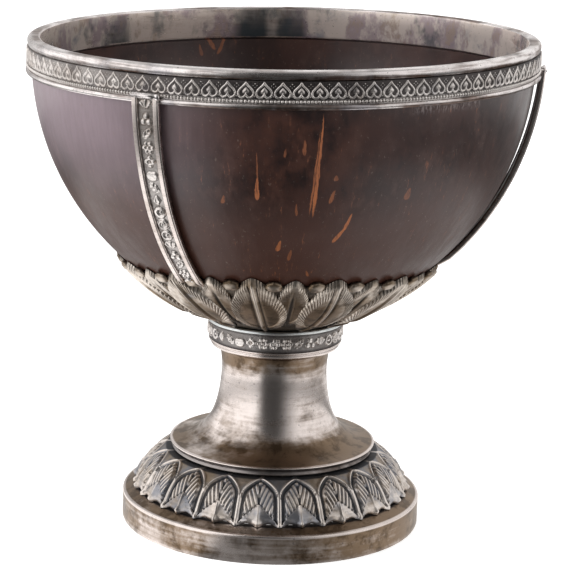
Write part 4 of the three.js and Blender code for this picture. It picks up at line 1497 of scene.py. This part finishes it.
def bud_pattern():
    """A round bud that peeps out between two leaves, deep in its gap."""
    shape = bmesh.new()
    bmesh.ops.create_uvsphere(shape, u_segments=22, v_segments=14, radius=1.0)
    ball = np.array([v.co[:] for v in shape.verts])
    up = LARGE_TIP - 2.3
    lumps = 1 + 0.1 * np.sin(5 * ball[:, 0] + 1) * np.cos(6 * ball[:, 2])
    ball = ball * lumps[:, None]
    points = on_nut(ball[:, 0] * 1.9, up + ball[:, 2] * 1.6, 0.8 - ball[:, 1] * 0.9)
    for v, point in zip(shape.verts, points):
        v.co = Vector(point) * MM
    wear = np.interp(-ball[:, 1], (-0.1, 0.45, 0.8), (-0.5, 0.0, 0.5))
    return from_shape("bud_pattern", shape, wear, 0.5)


# shape is the half width, the share of the length where it is widest, and the stalk's share of it
LARGE_LEAF = dict(shape=(6.3, 0.6, 0.14), rib_pitch=0.74, comb_length=4.6, rise=1.0, spine=0.4,
                  lean_over=0.6, columns=340, rows=19)
SMALL_LEAF = dict(shape=(3.6, 0.74, 0.12), rib_pitch=0.7, comb_length=2.9, rise=0.45, spine=-0.4,
                  lean_over=-0.2, columns=290, rows=18)
leaf_turn = 360.0 / LEAF_PAIRS
large = leaf_pattern("large_leaf", CALYX_FOOT, LARGE_TIP, **LARGE_LEAF)
small = leaf_pattern("small_leaf", CALYX_FOOT + 3.0, SMALL_TIP, **SMALL_LEAF)
bud_shape = bud_pattern()
for name, pattern, count, first in (
    ("calyx_large_leaves", large, LEAF_PAIRS, CALYX_LEAF_FIRST),
    ("calyx_small_leaves", small, LEAF_PAIRS, CALYX_LEAF_FIRST + leaf_turn / 2),
    ("calyx_buds", bud_shape, 2 * LEAF_PAIRS, CALYX_LEAF_FIRST + leaf_turn / 4),
):
    placed(swayed(copied_round(name, pattern, count, first, "chased_silver")), "chased_silver")
discard(large, small, bud_shape)

# %% [markdown]
# ## Collar
# A bright wire, a stamped ring and a small moulding hide the joint between calyx and stem.

# %% Collar rings
top_low, top_high, top_radius = levels("collar_top_wire")
ring_low, ring_high, ring_radius = levels("collar_band")
moulding_low, moulding_high, moulding_radius = levels("collar_moulding")
stem_low, stem_high, flange_radius = levels("stem")
NECK_RADIUS = 13.8
COLLAR_TURNS = 128

top_round = (top_high - top_low) / 2
top_wire = turned("collar_wire", [
    (top_radius - 2.0, top_low - 0.2, 0.0),
    (top_radius - 0.6, top_low - 0.2, -0.7),
    *arc(top_radius - top_round, top_low + top_round, top_round, top_round, -70, 80, 10, 0.5),
    (top_radius - 2.0, top_high + 0.15, -0.8),
], turns=COLLAR_TURNS, sharp_above=70)
placed(top_wire, "silver", "collar_top_wire", finish="wire_silver")

collar_face = ring_radius - STRIP_RECESS
collar_ground = turned("collar_ground", [
    (ring_radius - 1.4, ring_low - 0.25, 0.0),
    (collar_face, ring_low - 0.25, -0.7),
    (collar_face, ring_low + 0.3, -0.5),
    (collar_face, ring_high - 0.3, -0.5),
    (collar_face, ring_high + 0.25, -0.7),
    (ring_radius - 1.4, ring_high + 0.25, 0.0),
], turns=COLLAR_TURNS)
placed(collar_ground, "stamped_silver", "collar_band")

rise = moulding_high - moulding_low
moulding = turned("collar_moulding_ring", [
    (NECK_RADIUS - 1.2, moulding_low, 0.0),
    (NECK_RADIUS + 0.35, moulding_low - 0.25, -0.3),
    (NECK_RADIUS + 0.8, moulding_low + 0.05, 0.3, 0.1),
    *arc(moulding_radius - 1.1, moulding_low + 0.42 * rise, 0.62, 0.42 * rise, -70, 60, 8, 0.7),
    (moulding_radius - 0.5, moulding_low + 0.7 * rise, -0.1, 0.2),
    *arc(moulding_radius - 0.3, moulding_low + 0.84 * rise, 0.3, 0.16 * rise, -60, 90, 8, 0.8),
    (NECK_RADIUS - 1.2, moulding_high + 0.1, -0.5),
], turns=COLLAR_TURNS, sharp_above=70)
placed(moulding, "silver", "collar_moulding")

# %% [markdown]
# The ring carries the same kind of punched figures as the straps, so the same tree sets them, this
# time along a circle.

# %% Collar figures
COLLAR_FIGURES = 36


def circle_line(name, radius, height):
    """A path round the axis for figures."""
    azimuth = np.linspace(0, 360, 121)
    even = np.ones(len(azimuth))
    at = on_axis(radius * even, height * even, azimuth)
    out = on_axis(even, 0 * even, azimuth)
    return line_object(name, at, np.broadcast_to((0.0, 0.0, 1.0), out.shape), out)


figures = figure_collection("collar_figures", 1.5)
collar_line = circle_line("collar_line", collar_face, (ring_low + ring_high) / 2)
collar_row = grown("collar_figures", figures_on_path, {
    "Path": collar_line, "Figures": figures, "Count": COLLAR_FIGURES, "Order": 7,
    "Finish": finishes["stamped_silver"],
})
discard(collar_line)
drop_collection(figures)
placed(collar_row, "stamped_silver")

# %% [markdown]
# ## Stem
# The stem is a plain trumpet, raised from sheet and spun smooth, that flares into a thin flange
# over a narrow hollow moulding. It is polished on the waist, where it is held, and browned under
# the collar and on the flange, where the left has been rubbed and the right has not.

# %% Stem
def cubic(a, b, c, d, steps):
    """Points of a cubic curve from its two ends and two handles."""
    t = np.linspace(0, 1, steps + 1)[:, None]
    a, b, c, d = (np.array(p, float) for p in (a, b, c, d))
    return a * (1 - t) ** 3 + 3 * b * t * (1 - t) ** 2 + 3 * c * t * t * (1 - t) + d * t**3


WAIST_RADIUS = 12.65
NECK_RISE = 6.0
FLANGE_TOP = stem_low + 2.1
SCOTIA_RADIUS = 23.8


def stem_film(radius, height):
    """Brown film of the stem: on the flange, and just under the collar."""
    flange = float(smooth_step(13.8, 19.5, radius))
    collar = float(smooth_step(stem_high - 8.0, stem_high - 0.5, height))
    return max(flange, 0.85 * collar) - 0.2 * (1 - flange) * (1 - collar)


def stem_piece():
    waist_level = stem_high - NECK_RISE
    sweep_up = cubic((flange_radius, FLANGE_TOP), (WAIST_RADIUS + 4.35, FLANGE_TOP + 0.6),
                     (WAIST_RADIUS + 0.65, FLANGE_TOP + 4.5), (WAIST_RADIUS, waist_level), 56)
    neck = arc(NECK_RADIUS, waist_level, NECK_RADIUS - WAIST_RADIUS, NECK_RISE, 180, 90, 16)
    path = [(float(r), float(z)) for r, z in sweep_up[2:]] + [point[:2] for point in neck[1:]]
    outside = [(r, z, 0.0, stem_film(r, z)) for r, z in path]
    bore = [(max(r - 1.2, 5.0), z) for r, z in path if r < 19.0][::-1]
    outline = [
        (SCOTIA_RADIUS, stem_low, -0.8),
        *arc(SCOTIA_RADIUS + 0.9, stem_low + 0.75, 0.75, 0.7, 230, 130, 6, -0.45),
        (flange_radius - 0.35, FLANGE_TOP - 0.45, -0.6),
        *arc(flange_radius - 0.26, FLANGE_TOP - 0.24, 0.26, 0.22, -80, 80, 8, 0.9),
        *outside,
        *bore,
        (21.6, stem_low + 1.0),
        (21.6, stem_low),
    ]
    return turned("stem_trumpet", outline, sharp_above=50)


trumpet = stem_piece()
on_flange = smooth_step(14.0, 18.0, np.hypot(*point_array(trumpet)[:, :2].T))
rubbed = by_azimuth(trumpet, (-150, -75, -25, 5, 40, 100, 150), (0.0, -0.5, -0.4, 0.0, 0.3, 0.3, 0.0))
shift_layer(trumpet.data, "film", rubbed * on_flange)
placed(trumpet, "silver", "stem")

# %% [markdown]
# ## The leaf ring of the foot
# Twenty arched leaves stand side by side on a swelling moulding. A bright line frames each arch,
# and between two arches a dark dart, brown at its top, narrows down to a point. Inside the arch a
# dark channel runs round a leaf with steep veins and a folded middle. A grey bract with a sharp
# keel covers its foot, and the lower edge runs in little points. All of it is one height field:
# the formula works out, for any place in one leaf's pitch, how far the chaser left the silver
# standing.

# %% Foot leaf relief
leafring_low, leafring_high, _ = levels("foot_leaf_ring")
base_low, base_high, foot_radius = levels("foot_base")
FOOT_LEAVES = 20
FOOT_LEAF_FIRST = -4.9
LEAF_RING_RADIUS = foot_radius - 3.2
LEAF_RING_TOP = flange_radius + 0.4
LEAF_RING_MOUTH = 23.2
LEAF_CLIMB = 11.7


def foot_leaf_relief(u, v):
    """Height, wear and film at u, -1 to 1 across one leaf's pitch, and v, 0 to 1 up the ring."""
    half_pitch = math.pi * (LEAF_RING_RADIUS + (LEAF_RING_TOP - LEAF_RING_RADIUS) * v) / FOOT_LEAVES
    climb = LEAF_CLIMB * v
    side = np.abs(u) * half_pitch
    arch = half_pitch * 0.95 * (1 - np.clip((v - 0.52) / 0.46, 0, 1) ** 2.0) ** 0.72
    slope = 1 + 1.8 * smooth_step(0.66, 0.95, v)
    inside = (arch - side) / slope
    line = np.exp(-(inside / 0.2) ** 2)
    dart = smooth_step(0.05, -0.3, inside)
    channel = smooth_step(0.05, 0.3, inside) * smooth_step(1.3, 0.75, inside)
    leaf_edge = half_pitch * 0.74 * (1 - np.clip((v - 0.36) / 0.54, 0, 1) ** 2.0) ** 0.66
    on_leaf = smooth_step(-0.1, 0.35, leaf_edge - side)
    veins = np.cos(2 * math.pi * (side - 0.3 * climb) / 0.98)
    fold = np.exp(-(side / 0.2) ** 2) * smooth_step(0.9, 0.78, v)
    nose = np.exp(-(side / 0.4) ** 2 - ((v - 0.86) * LEAF_CLIMB / 0.7) ** 2)
    bract_half = half_pitch * 0.97 * np.clip(1 - v / 0.4, 0, 1) ** 0.95
    bract_in = bract_half - side
    bract = smooth_step(0.0, 0.14, bract_in)
    moat = np.exp(-((bract_in + 0.12) / 0.14) ** 2) * (v < 0.42)
    keel = np.exp(-(side / 0.2) ** 2)
    flank = (1 - np.clip(side / np.maximum(bract_half, 0.1), 0, 1)) ** 2
    leaf = 0.45 * on_leaf + 0.13 * veins * on_leaf - 0.38 * fold * on_leaf + 0.15 * nose
    plain = 0.48 * line + 0.12 * dart - 0.26 * channel + leaf - 0.3 * moat
    raised = bract * (0.3 + 0.4 * flank + 0.3 * keel)
    height = np.where(bract_in > 0, np.maximum(plain * (1 - bract), 0.0) + raised, plain)
    wear = 1.5 * line - 0.85 * channel * (1 - on_leaf) + on_leaf * (0.2 + 0.85 * veins)
    wear = wear - 1.4 * fold * on_leaf
    crown = smooth_step(0.6, 0.82, v)
    wear = wear + 0.4 * nose - 0.85 * moat - 0.62 * dart * (1 - 0.8 * crown)
    rim = np.exp(-((bract_in - 0.15) / 0.13) ** 2)
    wear = np.where(bract_in > 0, -0.12 + 1.0 * keel * bract + 0.7 * rim, wear)
    wear = wear + 0.5 * smooth_step(0.07, 0.03, v) * np.abs(np.cos(math.pi * u)) ** 3
    film = 0.05 + 0.35 * on_leaf * (bract_in <= 0) + 0.7 * dart * crown
    return height, wear, film


print("foot leaf pitch", round(2 * math.pi * LEAF_RING_RADIUS / FOOT_LEAVES, 1), "mm")

# %% [markdown]
# The ring itself swells a little between base and flange. Its inside is plain, since the casting
# is hollow and fingers can feel it under the foot.

# %% Foot leaf ring
def foot_leaf_ring():
    per_leaf, rows = 42, 90
    columns = FOOT_LEAVES * per_leaf
    azimuth = np.arange(columns) * 360.0 / columns
    phase = (azimuth - FOOT_LEAF_FIRST) / (360.0 / FOOT_LEAVES)
    u = np.broadcast_to((phase - np.round(phase)) * 2, (rows, columns))
    v = np.linspace(0, 1, rows)[:, None]
    relief, wear, film = foot_leaf_relief(u, v)
    chord_r, chord_z = LEAF_RING_TOP - LEAF_RING_RADIUS, leafring_high - leafring_low
    length = math.hypot(chord_r, chord_z)
    stand = 1.05 * np.sin(math.pi * v) + relief * smooth_step(0.0, 0.03, v) * smooth_step(1.0, 0.96, v)
    points_out = np.maximum(np.cos(u * 2 * math.pi), 0) ** 2 * 0.8 * smooth_step(0.1, 0.0, v)
    radius = LEAF_RING_RADIUS + chord_r * v + chord_z / length * stand + points_out
    scallop = 0.65 * (1 - np.abs(np.cos(math.pi * u)) ** 1.3) * smooth_step(0.14, 0.0, v)
    height = leafring_low + chord_z * v - chord_r / length * stand
    height = height - 0.25 * smooth_step(0.08, 0.0, v) + scallop
    # the top rows, where the ring meets the flange, are darkened: painted shade under the flange
    wear = wear - 0.9 * smooth_step(0.93, 1.0, v) - 0.2 * smooth_step(0.04, 0.0, v)
    inner = [LEAF_RING_MOUTH + 0.02, leafring_high], [LEAF_RING_MOUTH + 0.02, leafring_high - 1.1]
    spread = np.ones(columns)
    under = [(r * spread, z * spread) for r, z in inner]
    for k in np.linspace(0.85, 0, 7):
        sag = 0.45 * math.sin(math.pi * k) - 1.1
        under.append(((LEAF_RING_RADIUS + chord_r * k + chord_z / length * sag) * spread,
                      (leafring_low + chord_z * k - chord_r / length * sag * (k > 0)) * spread))
    radius = np.vstack([radius, *[r[None] for r, _ in under]])
    height = np.vstack([height, *[z[None] for _, z in under]])
    extra = np.full((len(under), columns), -0.5)
    grid = on_axis(radius, height, azimuth[None, :])
    film = np.vstack([np.broadcast_to(film, (rows, columns)), extra + 0.8])
    return closed_skin("foot_leaves", grid, None, np.vstack([wear, extra]), film, 75)


placed(foot_leaf_ring(), "chased_silver", "foot_leaf_ring", finish="foot_silver")

# %% [markdown]
# ## The foot
# The foot is a shallow hollow drum of sheet: an upright wall, a bright soft edge and a top that
# rises under the leaves. Dust and handling have browned the ledge, and the whole foot more on the
# right. The drum is open underneath, where the nut of the screw fixing shows.

# %% Foot base
SHEET = 1.2
WALL = 6.9
EDGE_ROUND = 0.5
base = turned("foot_drum", [
    (foot_radius - 0.15, 0.0, 0.2, 0.2),
    (foot_radius, 0.35, 0.3, 0.2),
    (foot_radius, 1.6, 0.0, 0.5),
    (foot_radius - 0.05, 3.4, 0.0, 0.35),
    (foot_radius, WALL - EDGE_ROUND - 0.4, 0.0, 0.55),
    *arc(foot_radius - EDGE_ROUND, WALL - EDGE_ROUND, EDGE_ROUND, EDGE_ROUND, 0, 70, 6, 0.95),
    (foot_radius - 0.8, WALL + 0.08, 0.1, 0.7),
    (LEAF_RING_RADIUS + 1.6, WALL + 0.45, 0.0, 0.6),
    (LEAF_RING_RADIUS + 0.7, base_high - 0.15, -0.15, 0.6),
    (LEAF_RING_RADIUS, base_high, -0.6, 0.5),
    (LEAF_RING_RADIUS - 1.5, base_high, -0.6),
    (LEAF_RING_RADIUS - 1.5, base_high - SHEET, -0.2),
    (LEAF_RING_RADIUS, base_high - SHEET, -0.2, 0.5),
    (foot_radius - SHEET, WALL - SHEET, -0.2, 0.5),
    (foot_radius - SHEET, 0.25, 0.0, 0.3),
    (foot_radius - SHEET + 0.2, 0.0, 0.2),
], turns=RIM_TURNS, sharp_above=40)
browned = by_azimuth(base, (-90, -30, 0, 35, 90), (0.1, 0.0, -0.3, 0.35, 0.35))
shift_layer(base.data, "film", browned)
placed(base, "silver", "foot_base")

# %% [markdown]
# The screw fixing is plain hardware that shows only from below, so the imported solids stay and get
# a dull finish.

# %% Screw fixing under the foot
for node in ("tie_bolt", "foot_bridge", "foot_washer", "foot_nut"):
    solid = frame["nodes"][node]
    solid.data.materials.clear()
    solid.data.materials.append(finishes["bolt_silver"])
    print(node, "keeps its solid")

# %% [markdown]
# ## The studio
# The photograph was taken in a light tent: white behind and beside the cup, darker where the
# camera stands. Silver shows its surroundings, so the dark side matters as much as the lamps.
# The camera was found from the ellipses of the rim, collar, flange and foot.

# %% Camera
CAMERA_AWAY = 560.0
CAMERA_HEIGHT = 195.0
PHOTO_SIDE = 570
FOCAL_IN_PIXELS = 2407.0
SENSOR = 36.0
PITCH, ROLL, YAW = (math.radians(a) for a in (13.77, 1.84, -0.20))

camera_data = bpy.data.cameras.new("photo_camera")
camera_data.sensor_width = SENSOR
camera_data.lens = FOCAL_IN_PIXELS / PHOTO_SIDE * SENSOR
camera = linked("photo_camera", camera_data)
bpy.context.scene.camera = camera
ahead_flat = Vector((-math.sin(YAW), math.cos(YAW), 0))
right_flat = Vector((math.cos(YAW), math.sin(YAW), 0))
ahead = ahead_flat * math.cos(PITCH) - Vector((0, 0, math.sin(PITCH)))
above = ahead_flat * math.sin(PITCH) + Vector((0, 0, math.cos(PITCH)))
right = right_flat * math.cos(ROLL) + above * math.sin(ROLL)
upward = above * math.cos(ROLL) - right_flat * math.sin(ROLL)
camera.matrix_world = Matrix((
    (right.x, upward.x, -ahead.x, 0.0),
    (right.y, upward.y, -ahead.y, -CAMERA_AWAY * MM),
    (right.z, upward.z, -ahead.z, CAMERA_HEIGHT * MM),
    (0, 0, 0, 1),
))
print("lens", round(camera_data.lens, 1), "mm")

# %% [markdown]
# Two soft lamps stand left and right, and a weaker one hangs above. What the silver mirrors is
# described apart from them: a tone for each direction, with a tall bright panel on the left, a
# narrower one on the right, a dark gap between them where the camera is, and a dim ceiling.
# World and floor share this tone, as the panels reach down to the table. The floor can't be seen
# from below, so that the underside of the cup can be looked at.

# %% Lamps
CUP_MIDDLE = Vector((0, 0, 0.07))


def lamp(name, place, size, watts, color):
    """A soft rectangular lamp that faces the middle of the cup and isn't mirrored itself."""
    data = bpy.data.lights.new(name, "AREA")
    data.shape = "RECTANGLE"
    data.size, data.size_y = size
    data.energy = watts
    data.color = color
    made = linked(name, data)
    made.location = place
    made.rotation_euler = (CUP_MIDDLE - Vector(place)).to_track_quat("-Z", "Y").to_euler()
    made.visible_camera = False
    made.visible_glossy = False


lamp("left_softbox", (-1.1, -0.25, 0.4), (0.55, 0.95), 10.0, (1.0, 0.97, 1.0))
lamp("right_softbox", (0.95, -0.6, 0.5), (0.45, 0.9), 2.6, (1.0, 0.98, 0.96))
lamp("top_softbox", (0.1, 0.15, 1.3), (1.0, 0.8), 4.4, (1.0, 0.98, 0.97))
print("lamps: left, right and top")

# %% [markdown]
# The tone works with the azimuth of the mirrored ray: 0 toward the camera, growing toward the
# right of the picture. On the table lie two cards that only mirrors see: a white one at the left,
# which gives the nut its broad sheen, and a black one at the right, which keeps it dark there.

# %% Tone of the surroundings
PANEL_COLOUR = (1.0, 0.985, 0.97, 1)
DARK_LEVEL = 0.05
LEFT_PANEL, RIGHT_PANEL, BACK_PANEL = 1.15, 0.85, 0.8
WHITE_CARD = 0.33
CEILING = 0.2
FLOOR_REACH = 3.0


def studio_tone(w, direction, cards=False):
    """A grey for a direction: what a mirror on the cup shows there, or on the table with cards."""
    x, y, z = w.node("ShaderNodeSeparateXYZ", {0: direction}).outputs
    azimuth = w.azimuth(x, y)
    left = w.times(w.ramp(azimuth, -21.0, -36.0), w.ramp(azimuth, -150.0, -118.0, 0.45, 1.0))
    right = w.ramp(azimuth, 9.0, 60.0)
    behind = w.ramp(w.math("ABSOLUTE", azimuth), 140.0, 175.0)
    away = w.math("SQRT", w.plus(w.times(x, x), w.times(y, y)))
    if cards:
        card = w.times(w.ramp(away, 0.16, 0.2), w.ramp(away, 0.46, 0.38))
        wide_left = w.times(w.ramp(azimuth, -12.0, -75.0), w.ramp(azimuth, -150.0, -120.0))
        here = w.minus(1.0, card)
        left = w.times(left, here)
        left = w.plus(left, w.times(w.times(card, wide_left), WHITE_CARD))
        right = w.times(right, w.minus(1.0, w.times(card, 0.9)))
    level = w.plus(DARK_LEVEL, w.times(left, LEFT_PANEL))
    level = w.plus(level, w.times(right, RIGHT_PANEL))
    level = w.math("MAXIMUM", level, w.times(behind, BACK_PANEL))
    if cards:
        return w.plus(level, w.ramp(away, 0.12, 0.06, 0.0, 0.16))
    steep = w.math("DIVIDE", z, w.math("MAXIMUM", away, 0.001))
    ceiling = w.ramp(steep, 0.9, 2.0)
    level = w.times(level, w.ramp(steep, 0.8, 1.9, 1.0, 0.3))
    return w.plus(level, w.times(ceiling, CEILING))


def studio_world():
    world = bpy.data.worlds.new("light_tent")
    bpy.context.scene.world = world
    world.use_nodes = True
    w = Wiring(world.node_tree)
    tone = studio_tone(w, w.node("ShaderNodeTexCoord").outputs["Generated"])
    seen = w.node("ShaderNodeLightPath").outputs["Is Camera Ray"]
    warm = w.mix(1.0, PANEL_COLOUR, tone, "MULTIPLY")
    w.feed(world.node_tree.nodes["Background"], {
        "Color": w.mix(seen, warm, (1, 1, 1, 1)), "Strength": 1.0})


def studio_floor():
    material, w, shader = new_material("pale_floor")
    rays = w.node("ShaderNodeLightPath").outputs
    w.feed(shader, {
        "Base Color": (0.86, 0.86, 0.86, 1), "Roughness": 0.8, "Specular IOR Level": 0.1,
        "Emission Color": (1, 1, 1, 1), "Emission Strength": w.times(rays["Is Camera Ray"], 0.62)})
    mirrored = w.node("ShaderNodeEmission", {
        "Color": PANEL_COLOUR,
        "Strength": studio_tone(w, w.node("ShaderNodeTexCoord").outputs["Object"], cards=True)})
    either = w.node("ShaderNodeMixShader", {
        "Fac": rays["Is Glossy Ray"], 1: shader.outputs[0], 2: mirrored.outputs[0]})
    from_above = w.node("ShaderNodeMixShader", {
        "Fac": w.node("ShaderNodeNewGeometry").outputs["Backfacing"], 1: either.outputs[0],
        2: w.node("ShaderNodeBsdfTransparent").outputs[0]})
    w.feed(material.node_tree.nodes["Material Output"], {"Surface": from_above.outputs[0]})
    corners = [(x * FLOOR_REACH, y * FLOOR_REACH, 0) for x, y in ((-1, -1), (1, -1), (1, 1), (-1, 1))]
    mesh = bpy.data.meshes.new("floor")
    mesh.from_pydata(corners, [], [(0, 1, 2, 3)])
    mesh.materials.append(material)
    linked("floor", mesh)


studio_world()
studio_floor()
bpy.context.scene.view_settings.view_transform = "Standard"
print("world, floor and view set")
